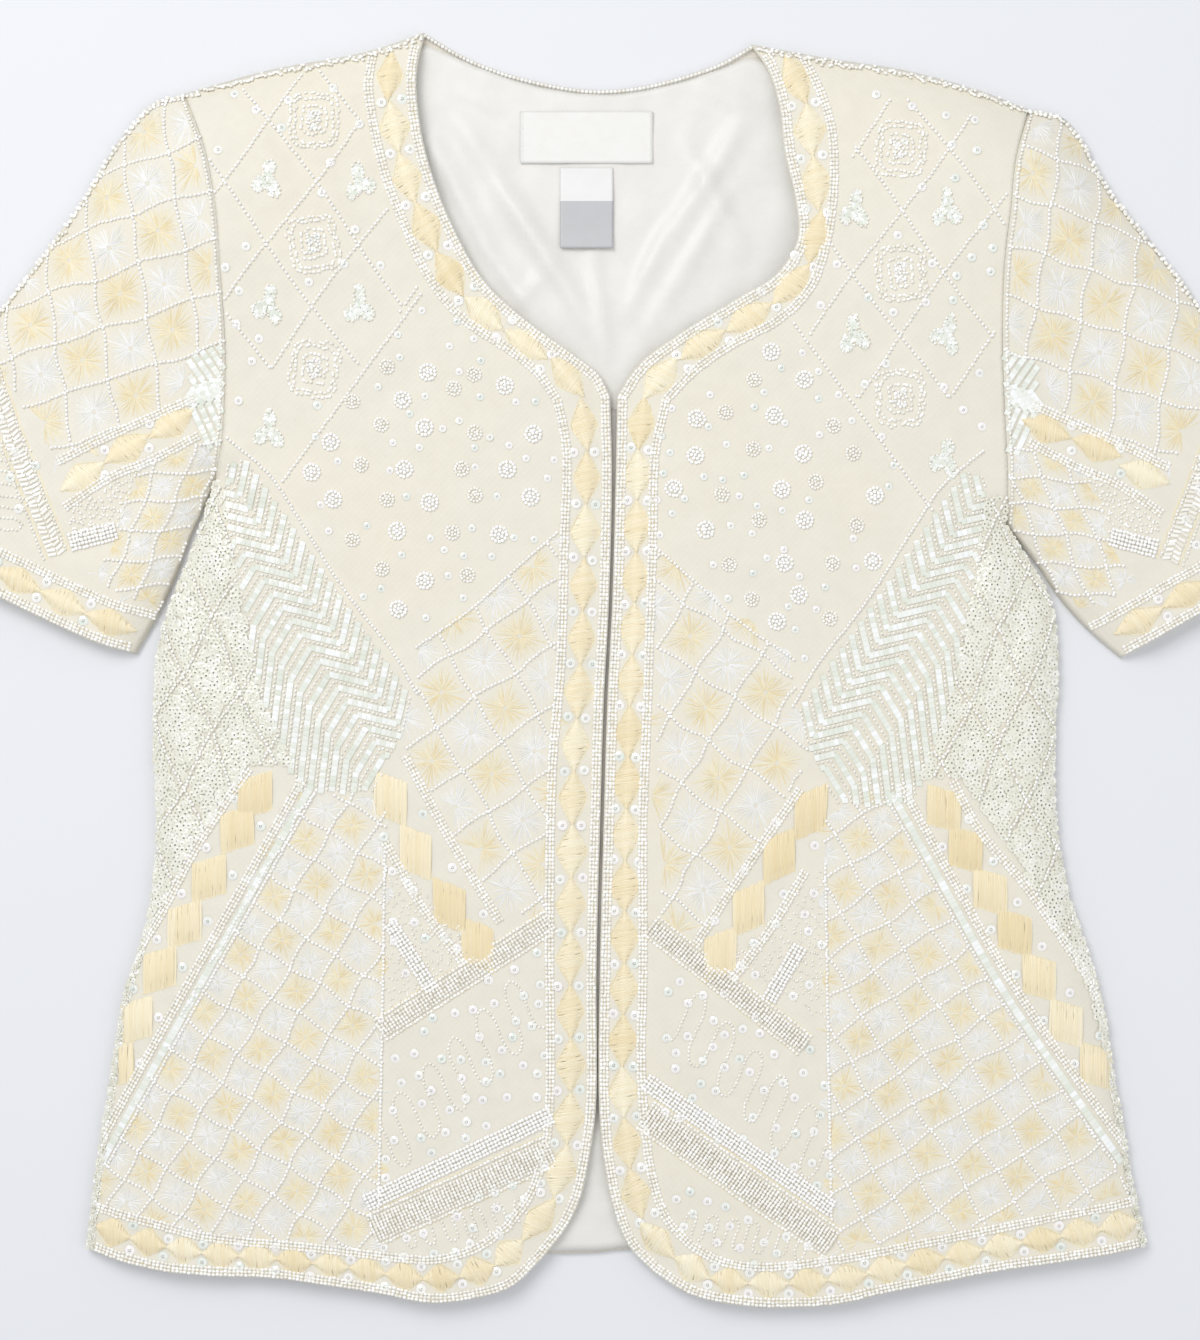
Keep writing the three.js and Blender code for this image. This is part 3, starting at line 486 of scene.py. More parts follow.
def creaseRise(points, crease):
    x1, y1, x2, y2, rise, width = crease
    step = np.array([x2 - x1, y2 - y1])
    length = np.linalg.norm(step)
    offset = points - (x1, y1)
    t = (offset @ step) / length ** 2
    aside = (offset[:, 0] * step[1] - offset[:, 1] * step[0]) / length
    fade = np.sin(np.pi * np.clip(t, 0, 1)) ** 0.7
    return rise * fade * np.exp(-(aside / width) ** 2)


def clothHeight(side, points, edgeTop):
    z = np.full(len(points), clothForm["restRise"])
    for x, y, rise, spread in mounds[side]:
        z += rise * np.exp(-((points[:, 0] - x) ** 2 + (points[:, 1] - y) ** 2) / (2 * spread ** 2))
    for crease in creases[side]:
        z += creaseRise(points, crease)
    z -= clothForm["frontEdgeFall"] * np.exp(
        -(distanceToRun(points, edgeRuns[side]) / clothForm["frontEdgeReach"]) ** 2)
    rise, length, start = hemRipple[side]
    low = np.clip(1 - (points[:, 1] - clothForm["hemLine"]) / clothForm["hemReach"], 0, 1)
    wave = 0.5 - 0.5 * np.cos(2 * np.pi * (points[:, 0] - start) / length)
    z += rise * wave * low * np.minimum(1, np.abs(points[:, 0]) / 60)
    for rise, length, heading in puckers:
        along = points[:, 0] * math.cos(heading) + points[:, 1] * math.sin(heading)
        z += rise * np.sin(2 * np.pi * along / length + 1.3 * np.sin(along / 37))
    distance = np.min([distanceToRun(points, run) for run in closedRuns[side]], axis=0)
    reach = clothForm["closedReach"] + 1.2 * (z - clothForm["restRise"])
    rounding = np.sin(np.pi / 2 * np.minimum(distance / reach, 1)) ** clothForm["closedRoundness"]
    return edgeTop + (z - edgeTop) * rounding


def outside(region, points):
    side, form = region.split(" ")
    edgeTop = clothForm["frontSeamTop"] if form == "front" else clothForm["sleeveFoldTop"]
    return clothHeight(side, np.asarray(points, float), edgeTop)


# Sheets: a grid operator's vertices are carried onto a patch between four seams


def coonsPatch(bottom, top, outer, inner, u, v):
    u, v = u[None, :, None], v[:, None, None]
    edges = (1 - v) * bottom[None] + v * top[None] + (1 - u) * outer[:, None] + u * inner[:, None]
    corners = ((1 - u) * (1 - v) * outer[0] + (1 - u) * v * outer[-1]
               + u * (1 - v) * inner[0] + u * v * inner[-1])
    return edges - corners


def gridMesh(facts, place):
    bm = bmesh.new()
    bmesh.ops.create_grid(bm, x_segments=facts["columns"], y_segments=facts["rows"], size=1)
    corner = np.array([v.co[:2] for v in bm.verts])
    u, uIndex = np.unique(np.round((corner[:, 0] + 1) / 2, 6), return_inverse=True)
    v, vIndex = np.unique(np.round((corner[:, 1] + 1) / 2, 6), return_inverse=True)
    grid = place(u, v)
    for vertex, i, j in zip(bm.verts, vIndex, uIndex):
        vertex.co = grid[i, j] * mm
    return bm


# A sheet is turned to face up, and a tube to face away from its own middle height
def layCloth(name, facts, place, material, solidName, slotName, recalculate=True, **sheet):
    bm = gridMesh(facts, place)
    middle = facts.get("middleHeight")
    if middle:
        bmesh.ops.remove_doubles(bm, verts=bm.verts, dist=1e-5)
    if recalculate:
        bmesh.ops.recalc_face_normals(bm, faces=bm.faces)
    facing = sum(face.normal.z * (face.calc_center_median().z - middle if middle else 1)
                 for face in bm.faces)
    if facing < 0:
        bmesh.ops.reverse_faces(bm, faces=bm.faces)
    mesh = bpy.data.meshes.new(name)
    bm.to_mesh(mesh)
    bm.free()
    mesh.shade_smooth()
    mesh.materials.append(material)
    made = bpy.data.objects.new(name, mesh)
    bpy.context.scene.collection.objects.link(made)
    wall = made.modifiers.new("wall", "SOLIDIFY")
    wall.thickness = facts["wall"] * mm
    wall.offset = -1
    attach(made, "root")
    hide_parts(solidName)
    return made


def planArea(run):
    x, y = run[:, 0], run[:, 1]
    return abs(np.dot(x, np.roll(y, -1)) - np.dot(y, np.roll(x, -1))) / 2 * mm * mm


def flatFacts(points):
    low, high = points.min(axis=0), points.max(axis=0)
    return tuple(float(v) for v in (high - low) * mm)


outlineLegs = {"front": ("side", "armhole", "shoulder", "neckline", "edge", "hem"),
               "sleeve": ("armhole", "sleeveOuter", "cuff", "sleeveInner")}


def regionOutline(region, count=30):
    side, form = region.split(" ")
    runs = [smoothRun(seams[side][name], count) for name in outlineLegs[form]]
    if form == "sleeve":
        runs[3] = runs[3][::-1]
    return np.vstack(runs)


frontCloth = {"columns": 64, "rows": 150, "below": 0.15, "wall": 1.7, "lowerShare": 19 / 31}


# Up the lower seam and on up the upper one, with the grid's rows shared between them
def twoSeams(lower, upper, v):
    share = frontCloth["lowerShare"]
    return np.vstack([smoothRun(lower, fractions=v[v <= share] / share),
                      smoothRun(upper, fractions=(v[v > share] - share) / (1 - share))])


def makeFront(side):
    seam, region = seams[side], f"{side} front"

    def place(u, v):
        plan = coonsPatch(smoothRun(seam["hem"][::-1], fractions=u),
                          smoothRun(seam["shoulder"], fractions=u),
                          twoSeams(seam["side"], seam["armhole"], v),
                          twoSeams(seam["edge"][::-1], seam["neckline"][::-1], v), u, v)
        flat = plan.reshape(-1, 2)
        z = outside(region, flat) - frontCloth["below"]
        return np.column_stack([flat + (0, plumb), z]).reshape(*plan.shape[:2], 3)

    outline = regionOutline(region, 40)
    layCloth(f"front_{side}_cloth", frontCloth, place, silkGround, f"front_{side}", "beaded_silk",
             flat=flatFacts(outline), rests_on=["back_lining_cloth"], area=planArea(outline))


# Sleeves: the grid wraps round a flattened tube, over the top and back under
sleeveCloth = {"columns": 96, "rows": 60, "wall": 1.5, "armholeGap": 0.12, "foldReach": 0.012,
               "middleHeight": 0.003, "areaShare": 0.93}


def makeSleeve(side):
    seam = seams[side]
    outward = -sleeveCloth["armholeGap"] if side == "right" else sleeveCloth["armholeGap"]

    def place(u, v):
        over = u <= 0.5
        across = np.where(over, 2 * u, 2 - 2 * u)
        order = np.sort(np.unique(across))
        plan = coonsPatch(smoothRun(seam["armhole"][::-1], fractions=order),
                          smoothRun(seam["cuff"], fractions=order),
                          smoothRun(seam["sleeveOuter"], fractions=v),
                          smoothRun(seam["sleeveInner"], fractions=v), order, v)
        plan[..., 0] += outward * (1 - v)[:, None]
        top = outside(f"{side} sleeve", plan.reshape(-1, 2)).reshape(plan.shape[:2]) - frontCloth["below"]
        pick = np.searchsorted(order, across)
        fold = np.minimum(across, 1 - across)
        under = clothForm["sleeveFoldTop"] * np.clip(1 - fold / sleeveCloth["foldReach"], 0, 1)
        z = np.where(over[None], top[:, pick], under[None])
        return np.dstack([plan[:, pick, 0], plan[:, pick, 1] + plumb, z])

    cuff, armhole, outer, inner = (runLength(seam[name])
                                   for name in ("cuff", "armhole", "sleeveOuter", "sleeveInner"))
    layCloth(f"sleeve_{side}_cloth", sleeveCloth, place, silkGround, f"sleeve_{side}", "beaded_silk",
             flat=(2 * armhole * mm, outer * mm),
             area=float((cuff + armhole) * ((outer + inner) / 2) * mm * mm * sleeveCloth["areaShare"]))


# Back and its lining: one patch over both halves
backCloth = {"columns": 70, "rows": 70, "wall": 1.9, "top": 2.0}
liningCloth = {"columns": 150, "rows": 150, "wall": 0.7, "sideInset": 6.0, "neckInset": 2.0,
               "hemInset": 1.5}
liningFolds = [  # from, to, rise, width: soft folds of the satin in the neck opening and at the hem
    (-74, 272, -12, 176, 3.2, 5.5), (-52, 238, 4, 150, 2.6, 4.6), (74, 276, 18, 186, 3.2, 5.5),
    (66, 240, 20, 162, 2.6, 4.6), (-86, 262, -52, 196, 2.4, 4.5), (-6, 206, 2, 152, 2.2, 3.6),
    (36, 262, 70, 200, 2.4, 4.5), (-24, 198, -46, 172, 1.8, 3.4), (32, 220, 10, 168, 1.8, 3.4),
    (-72, 282, -46, 270, 1.4, 3.4), (44, 286, 70, 270, 1.4, 3.4), (-60, 210, -28, 164, 1.8, 3.4),
    (-64, 256, -18, 186, -0.5, 4.2), (60, 262, 12, 196, -0.5, 4.2), (-34, 214, -8, 160, -0.4, 3.2),
    (52, 212, 24, 170, -0.4, 3.2),
    (-20, -262, 12, -263, 0.6, 1.4), (-20, -247, 12, -248, 0.5, 1.4),
]


def bodyPlan(u, v, sideInset=0, neckInset=0, hemInset=0):
    sides = {side: offsetRun(twoSeams(seams[side]["side"], seams[side]["armhole"], v), turn * sideInset)
             for side, turn in (("right", -1), ("left", 1))}
    hem = np.vstack([seams["right"]["backHem"], seams["left"]["backHem"][::-1][1:]])
    bottom = smoothRun(hem, fractions=u) + (0, hemInset)
    legs = [seams["right"]["shoulder"], backNeck, seams["left"]["shoulder"][::-1]]
    lengths = np.array([runLength(leg) for leg in legs])
    cuts = np.concatenate([[0], np.cumsum(lengths) / lengths.sum()])
    at = np.concatenate([np.linspace(lo, hi, 41) for lo, hi in zip(cuts, cuts[1:])])
    whole = np.vstack([smoothRun(leg, 40) for leg in legs])
    top = np.column_stack([np.interp(u, at, whole[:, k]) for k in (0, 1)])
    middle = np.clip(1 - np.abs(2 * (u - cuts[1]) / (cuts[2] - cuts[1]) - 1) ** 6, 0, 1)
    top[:, 1] -= sideInset + (neckInset - sideInset) * middle
    outer, inner = sides["right"], sides["left"]
    for run, end in ((bottom, 0), (top, -1)):
        shift = np.outer(1 - u, outer[end] - run[0]) + np.outer(u, inner[end] - run[-1])
        run += shift * (np.abs(2 * u - 1) ** 8)[:, None]
    return coonsPatch(bottom, top, outer, inner, u, v)


def liningHeight(points):
    z = np.full(len(points), clothForm["liningTop"] - 0.25)
    for fold in liningFolds:
        z += creaseRise(points, fold)
    for rise, length, heading in puckers:
        along = points[:, 0] * math.cos(heading + 0.6) + points[:, 1] * math.sin(heading + 0.6)
        z += rise * np.sin(2 * np.pi * along / length)
    return z


def makeBody(name, facts, height, material, solidName, slotName, rests):
    insets = {key: facts[key] for key in ("sideInset", "neckInset", "hemInset") if key in facts}

    def place(u, v):
        plan = bodyPlan(u, v, **insets)
        flat = plan.reshape(-1, 2)
        return np.column_stack([flat + (0, plumb), height(flat)]).reshape(*plan.shape[:2], 3)

    legs = (("side", 40), ("armhole", 40), ("shoulder", 20))
    outline = np.vstack([smoothRun(seams["right"][leg], count) for leg, count in legs]
                        + [smoothRun(backNeck, 20)]
                        + [smoothRun(seams["left"][leg][::-1], count) for leg, count in legs[::-1]])
    layCloth(name, facts, place, material, solidName, slotName, flat=flatFacts(outline), rests_on=rests,
             area=planArea(outline))


makeBody("back_cloth", backCloth, lambda flat: np.full(len(flat), backCloth["top"]), backSilk, "back",
         "beaded_silk", [])
makeBody("back_lining_cloth", liningCloth, liningHeight, liningSatin, "back_lining", "satin_lining",
         ["back_cloth"])
for side in seams:
    makeFront(side)
    makeSleeve(side)
print("cloth laid")

# Height of the finished cloth, read off a fine raster, and the outline of each region

raster = {"step": 1.5, "pad": 10.0}


def makeRaster(region):
    low, high = outlines[region].min(axis=0) - raster["pad"], outlines[region].max(axis=0) + raster["pad"]
    x, y = (np.arange(low[k], high[k], raster["step"]) for k in (0, 1))
    grid = np.stack(np.meshgrid(x, y), axis=-1)
    return low, outside(region, grid.reshape(-1, 2)).reshape(grid.shape[:2])


def heightAt(region, points):
    if region == "lining":
        return np.full(len(points), clothForm["liningTop"])
    low, heights = rasters[region]
    place = np.clip((points - low) / raster["step"], 0, np.array(heights.shape[::-1]) - 1.001)
    cell = place.astype(int)
    fx, fy = (place - cell).T
    j, i = cell.T
    return ((1 - fx) * (1 - fy) * heights[i, j] + fx * (1 - fy) * heights[i, j + 1]
            + (1 - fx) * fy * heights[i + 1, j] + fx * fy * heights[i + 1, j + 1])


def insideZone(points, zone):
    zone = np.asarray(zone, float)
    a, b = zone, np.roll(zone, -1, axis=0)
    x, y = points[:, None, 0], points[:, None, 1]
    rise = np.where(b[:, 1] == a[:, 1], 1e-9, b[:, 1] - a[:, 1])
    crosses = (a[:, 1] > y) != (b[:, 1] > y)
    return (crosses & (x < (b[:, 0] - a[:, 0]) * (y - a[:, 1]) / rise + a[:, 0])).sum(axis=1) % 2 == 1


outlines = {f"{side} {form}": regionOutline(f"{side} {form}") for side in seams for form in outlineLegs}
rasters = {region: makeRaster(region) for region in outlines}

# Small shapes that are sewn on many times, each about one unit across, standing on z = 0

quarterTurn = Matrix.Rotation(math.pi / 2, 3, "Y")


def smallShape(build):
    bm = bmesh.new()
    build(bm)
    bmesh.ops.triangulate(bm, faces=bm.faces)
    bm.verts.index_update()
    shape = (np.array([v.co[:] for v in bm.verts]),
             np.array([[v.index for v in f.verts] for f in bm.faces]))
    bm.free()
    return shape


def dropUnderside(bm, limit):
    bm.normal_update()
    bmesh.ops.delete(bm, geom=[face for face in bm.faces if face.normal.z < limit], context="FACES")


def beadShape(bm):
    bmesh.ops.create_icosphere(bm, subdivisions=1, radius=1)
    dropUnderside(bm, -0.5)
    bmesh.ops.translate(bm, vec=(0, 0, 0.6), verts=bm.verts)


def cupShape(bm):
    bmesh.ops.create_cone(bm, cap_ends=False, segments=9, radius1=1, radius2=0.3, depth=0.3)
    bmesh.ops.translate(bm, vec=(0, 0, 0.3), verts=bm.verts)
    centre = bmesh.ops.create_icosphere(bm, subdivisions=1, radius=0.26)
    bmesh.ops.translate(bm, vec=(0, 0, 0.42), verts=centre["verts"])


def flakeShape(bm):
    bmesh.ops.create_cone(bm, cap_ends=False, segments=7, radius1=1, radius2=0.28, depth=0.3)
    bmesh.ops.translate(bm, vec=(0, 0, 0.3), verts=bm.verts)


def tileShape(bm):
    bmesh.ops.create_grid(bm, x_segments=2, y_segments=2, size=0.5)
    for vertex in bm.verts:
        vertex.co.z = 0.2 - 0.2 * abs(vertex.co.x) - 0.1 * abs(vertex.co.y)


def tubeShape(bm):
    bmesh.ops.create_cone(bm, cap_ends=False, segments=6, radius1=0.5, radius2=0.5, depth=1)
    bmesh.ops.rotate(bm, cent=(0, 0, 0), matrix=quarterTurn, verts=bm.verts)
    dropUnderside(bm, -0.4)
    bmesh.ops.translate(bm, vec=(0, 0, 0.35), verts=bm.verts)


def threadShape(bm):
    bmesh.ops.create_grid(bm, x_segments=2, y_segments=2, size=0.5)
    for vertex in bm.verts:
        middle, ends = 1 - 2 * abs(vertex.co.y), 2 * abs(vertex.co.x)
        vertex.co.z = 0.6 * middle * (1 - 0.75 * ends)
        vertex.co.y *= 1 - 0.55 * ends


def strandShape(bm):
    bmesh.ops.create_grid(bm, x_segments=4, y_segments=2, size=0.5)
    for vertex in bm.verts:
        middle, ends = 1 - 2 * abs(vertex.co.y), 2 * abs(vertex.co.x)
        vertex.co.z = (0.42 + 0.18 * middle) * (1 - ends ** 3) + 0.08 * middle
        vertex.co.y *= 1 - 0.3 * ends


def pillowShape(bm):
    bmesh.ops.create_grid(bm, x_segments=8, y_segments=8, size=1)
    for vertex in bm.verts:
        vertex.co.z = (max(0, 1 - vertex.co.x ** 2) * max(0, 1 - vertex.co.y ** 2)) ** 0.42


shapes = {name: smallShape(build) for name, build in (
    ("bead", beadShape), ("cup", cupShape), ("flake", flakeShape), ("tile", tileShape),
    ("tube", tubeShape),
    ("thread", threadShape), ("strand", strandShape), ("pillow", pillowShape))}

# What is sewn on: each kind has its shape, its material and the record's slot
sewnKinds = {
    "white_beads": ("bead", whiteGlass, "white_beads"),
    "clear_beads": ("bead", clearGlass, "clear_beads"),
    "bugles": ("tube", clearGlass, "clear_beads"), "cup_sequins": ("cup", pearlSequin, "sequins"),
    "small_sequins": ("flake", mintSequin, "sequins"), "tile_sequins": ("tile", tileSequin, "sequins"),
    "satin": ("pillow", yellowSatin, "satin_thread"),
    "yellow_strands": ("strand", yellowStrand, "satin_thread"),
    "yellow_threads": ("thread", yellowThread, "satin_thread"),
    "white_threads": ("thread", whiteThread, "satin_thread"),
}
sewn = {}


def turnedFrames(angle, wide, tall):
    c, s = np.cos(angle), np.sin(angle)
    return np.stack([np.stack([c * wide, -s * tall], -1), np.stack([s * wide, c * tall], -1)], 1)


# Sizes are a bead's half width, half depth and height, or the whole of a thread, tube or tile
def sewOn(kind, region, points, size, angle=0.0, tone=(0.2, 0.8), frames=None, lift=0.0, lean=0.0,
          margin=0.8):
    points = np.atleast_2d(np.asarray(points, float))
    if not len(points):
        return
    count = len(points)
    size = np.broadcast_to(np.asarray(size, float), (count, 3))
    if frames is None:
        frames = turnedFrames(np.broadcast_to(np.asarray(angle, float), (count,)), size[:, 0], size[:, 1])
    frames = np.broadcast_to(np.asarray(frames, float), (count, 2, 2))
    tones = rng.uniform(*tone, count)
    tilt = rng.normal(0, 1, (count, 2)) * lean
    keep = np.ones(count, bool)
    if region != "lining":
        ring = np.vstack([outlines[region], outlines[region][:1]])
        keep = insideZone(points, outlines[region]) & (distanceToRun(points, ring) > margin)
    sewn.setdefault((kind, region), []).append(
        (points[keep], frames[keep], size[keep, 2], tones[keep], np.broadcast_to(lift, count)[keep],
         tilt[keep]))


def finishSewn():
    for (kind, region), batches in sewn.items():
        shapeName, material, slotName = sewnKinds[kind]
        verts, tris = shapes[shapeName]
        points, frames, tall, tones, lifts, tilts = (np.concatenate(part) for part in zip(*batches))
        count, each = len(points), len(verts)
        offset = np.einsum("nij,kj->nki", frames, verts[:, :2])
        plan = points[:, None] + offset
        z = heightAt(region, plan.reshape(-1, 2)).reshape(count, each)
        z += verts[:, 2] * tall[:, None] + lifts[:, None] + (offset * tilts[:, None]).sum(axis=2) - 0.12
        co = np.dstack([plan[..., 0], plan[..., 1] + plumb, z]) * mm
        index = (tris[None] + (np.arange(count) * each)[:, None, None]).reshape(-1)
        mesh = bpy.data.meshes.new(f"{kind}_{region.replace(' ', '_')}")
        mesh.vertices.add(count * each)
        mesh.vertices.foreach_set("co", co.astype(np.float32).ravel())
        mesh.loops.add(len(index))
        mesh.loops.foreach_set("vertex_index", index.astype(np.int32))
        mesh.polygons.add(len(index) // 3)
        mesh.polygons.foreach_set("loop_start", np.arange(0, len(index), 3, dtype=np.int32))
        mesh.update(calc_edges=True)
        tone = mesh.attributes.new("tone", "FLOAT", "POINT")
        tone.data.foreach_set("value", np.repeat(tones, each).astype(np.float32))
        if shapeName == "pillow":
            stitch = mesh.uv_layers.new(name="stitch")
            uv = verts[tris.reshape(-1), :2]
            stitch.data.foreach_set("uv", np.tile(uv.ravel(), count).astype(np.float32))
        mesh.shade_smooth()
        mesh.materials.append(material)
        piece = bpy.data.objects.new(mesh.name, mesh)
        bpy.context.scene.collection.objects.link(piece)
        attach(piece, "root")


# Rows and lines


def rowAlong(run, pitch, aside=0.0):
    run = np.asarray(run, float)
    lengths = np.concatenate([[0], np.cumsum(np.linalg.norm(np.diff(run, axis=0), axis=1))])
    count = max(1, round(lengths[-1] / pitch))
    at = (np.arange(count) + 0.5) * lengths[-1] / count
    points = np.column_stack([np.interp(at, lengths, run[:, k]) for k in (0, 1)])
    ahead = np.column_stack([np.interp(at + 0.5, lengths, run[:, k]) for k in (0, 1)])
    behind = np.column_stack([np.interp(at - 0.5, lengths, run[:, k]) for k in (0, 1)])
    heading = ahead - behind
    angle = np.arctan2(heading[:, 1], heading[:, 0])
    return points + aside * np.column_stack([-np.sin(angle), np.cos(angle)]), angle


def shaken(points, amount):
    return points + rng.normal(0, amount, points.shape)


beadSizes = {"single": (0.95, 0.8, 1.0), "rope": (1.08, 0.86, 0.74), "rosette": (0.72, 0.72, 0.8),
             "pitch": 1.95}


def beadLine(region, run, kind="white_beads", zone=None, aside=0.0, size="single", pitch=None,
             wander=0.12, tone=(0.1, 1.0), lift=0.0):
    points, angle = rowAlong(run, pitch or beadSizes["pitch"], aside)
    points = shaken(points, wander)
    if zone is not None:
        keep = insideZone(points, zone)
        points, angle = points[keep], angle[keep]
    sewOn(kind, region, points, beadSizes[size], angle, tone, margin=0.4, lift=lift)


ropeFacts = {"rows": 3, "spacing": 1.55, "stitch": (4.2, 0.5, 0.4), "stitchPitch": 4.0}


def rope(region, run):
    rows, spacing = ropeFacts["rows"], ropeFacts["spacing"]
    for k in range(rows):
        beadLine(region, run, "clear_beads", aside=(k - (rows - 1) / 2) * spacing, size="rope",
                 wander=0.1)
    stitches, angle = rowAlong(run, ropeFacts["stitchPitch"], spacing / 2)
    sewOn("yellow_threads", region, stitches, ropeFacts["stitch"], angle)


def threadLine(region, run, width=0.8, pitch=3.0):
    points, angle = rowAlong(run, pitch)
    sewOn("yellow_threads", region, points, (pitch * 1.35, width, 0.6), angle, (0.3, 0.9))


def cupSequins(region, points, size=2.4):
    sewOn("cup_sequins", region, points, (size, size, 1.6), tone=(0, 1), lean=0.06,
          angle=rng.uniform(0, math.pi, len(points)))


# Borders: a chain of satin diamonds between two bead ropes

borderFacts = {"pitch": {"neckline": 26.0, "edge": 26.0, "hem": 19.5, "cuff": 25.0}, "diamondWidth": 13.0,
               "ropeInset": 2.7, "sequin": 2.5, "sequinAside": 0.78, "satinRise": 1.6, "cuffWidth": 11.5,
               "cuffDepth": 20.5}
satinFacts = {"strandPitch": 0.8, "strandWidth": 1.45, "strandRise": 0.6, "shapeMargin": 3,
              "shapePillow": 0.7, "shapeTone": 0.15, "lensMargin": 1.5, "lensPillow": 0.45,
              "lensTone": 0.18, "lensTones": (0.3, 0.9), "lensRoundness": 1.3, "lensLean": 0.22,
              "lensRim": 1.1}


def diamondFrames(angle, length, width):
    along = np.column_stack([np.cos(angle), np.sin(angle)]) * np.reshape(length, (-1, 1)) / 4
    across = np.column_stack([-np.sin(angle), np.cos(angle)]) * np.reshape(width, (-1, 1)) / 4
    return np.stack([along + across, along - across], -1)


# Strands laid side by side over a pillow; each frame turns the unit square into the stitched shape
def satinShape(region, points, frames, rise, tones):
    facts = satinFacts
    points = np.atleast_2d(np.asarray(points, float))
    frames = np.broadcast_to(np.asarray(frames, float), (len(points), 2, 2))
    sewOn("satin", region, points, (1, 1, rise * facts["shapePillow"]), frames=frames, tone=tones,
          margin=facts["shapeMargin"])
    for point, frame in zip(points, frames):
        across, along = frame[:, 0], frame[:, 1]
        depth = 2 * abs(across[0] * along[1] - across[1] * along[0]) / np.linalg.norm(along)
        count = max(6, round(depth / facts["strandPitch"]))
        at = (np.arange(count) + 0.5) / count * 2 - 1 + rng.normal(0, 0.02, count)
        middle = point + at[:, None] * across + rng.normal(0, 0.02, (count, 1)) * along
        long = 2 * np.linalg.norm(along) * rng.uniform(0.97, 1.08, count)
        turn = math.atan2(along[1], along[0]) + rng.normal(0, 0.025, count)
        base = rng.uniform(*tones)
        tall = (rise * (1 - np.minimum(np.abs(at), 1) ** 4) + 0.5) / facts["strandRise"]
        size = np.column_stack([long, np.full(count, facts["strandWidth"]), tall])
        for k in range(count):
            sewOn("yellow_strands", region, middle[k], size[k], turn[k],
                  (base - facts["shapeTone"], base + facts["shapeTone"]), margin=facts["shapeMargin"])


def lensOutline(point, heading, length, width, at):
    along = np.array([math.cos(heading), math.sin(heading)])
    across = np.array([-along[1], along[0]])
    swell = np.clip(1 - np.abs(at) ** satinFacts["lensRoundness"], 0, 1)
    middle = point + np.outer(at, along) * length / 2
    return middle, middle + np.outer(swell, across) * width / 2, swell


# Strands laid across a rounded lens, and the thread laid round it
def satinLens(region, points, angle, long, wide, rise):
    facts = satinFacts
    sewOn("satin", region, points, (1, 1, rise * facts["lensPillow"]), margin=facts["lensMargin"],
          frames=diamondFrames(angle, long, wide * facts["lensRim"]))
    for point, heading, length, width in zip(points, angle, long, wide):
        count = round(length / facts["strandPitch"])
        at = (np.arange(count) + 0.5) / count * 2 - 1
        middle, _, swell = lensOutline(point, heading, length, width, at)
        size = np.column_stack([width * swell * rng.uniform(0.94, 1.05, count) + 0.3,
                                np.full(count, facts["strandWidth"]),
                                (rise * swell ** 0.6 + 0.5) / facts["strandRise"]])
        turn = heading + math.pi / 2 + facts["lensLean"] + rng.normal(0, 0.05, count)
        base = rng.uniform(*facts["lensTones"])
        sewOn("yellow_strands", region, shaken(middle, 0.12), size, turn,
              (base - facts["lensTone"], base + facts["lensTone"]), margin=facts["lensMargin"])
        for flip in (-1, 1):
            rim = lensOutline(point, heading, length, width * facts["lensRim"] * flip,
                              np.linspace(-1, 1, 15))[1]
            threadLine(region, rim, width=0.7, pitch=2.4)


def runSpan(run):
    return np.linalg.norm(np.diff(run, axis=0), axis=1).sum()


def diamondChain(region, near, far, count, width):
    middle = (near + far) / 2
    points, angle = rowAlong(middle, runSpan(middle) / count)
    pitch = np.linalg.norm(np.diff(points, axis=0), axis=1).mean()
    long = pitch * rng.uniform(0.98, 1.06, len(points))
    wide = width * rng.uniform(0.9, 1.08, len(points))
    satinLens(region, points, angle, long, wide, borderFacts["satinRise"])
    between = (points[1:] + points[:-1]) / 2
    for flip in (-1, 1):
        waist = np.column_stack([-np.sin(angle), np.cos(angle)]) * wide[:, None] / 2 * flip
        side = (waist[1:] + waist[:-1]) / 2
        cupSequins(region, shaken(between + side * borderFacts["sequinAside"], 0.5), borderFacts["sequin"])


def frontBorder(side):
    region, seam, turn = f"{side} front", seams[side], -1 if side == "right" else 1
    for leg, bandLeg, start, end in (("neckline", "bandNeck", 0.035, 1), ("edge", "bandEdge", 0, 1),
                                     ("hem", "bandHem", 0, 0.985)):
        near = smoothRun(seam[leg], fractions=np.linspace(start, end, 61))
        near, far = offsetRun(near, turn * borderFacts["ropeInset"]), smoothRun(seam[bandLeg], 60)
        rope(region, near)
        rope(region, far)
        diamondChain(region, near, far, max(2, round(runSpan(near) / borderFacts["pitch"][leg])),
                     borderFacts["diamondWidth"])


def cuffBorder(side):
    region, turn = f"{side} sleeve", 1 if side == "right" else -1
    cuff = smoothRun(seams[side]["cuff"], fractions=np.linspace(0.02, 0.98, 61))
    near, far = (offsetRun(cuff, turn * borderFacts[key]) for key in ("ropeInset", "cuffDepth"))
    rope(region, near)
    rope(region, np.vstack([far, far[-1] + 4 * (far[-1] - far[-2])]))
    diamondChain(region, near, far, round(runSpan(near) / borderFacts["pitch"]["cuff"]),
                 borderFacts["cuffWidth"])


# Starburst trellis: slanted cells of straight stitches, in two colours, between lines of beads

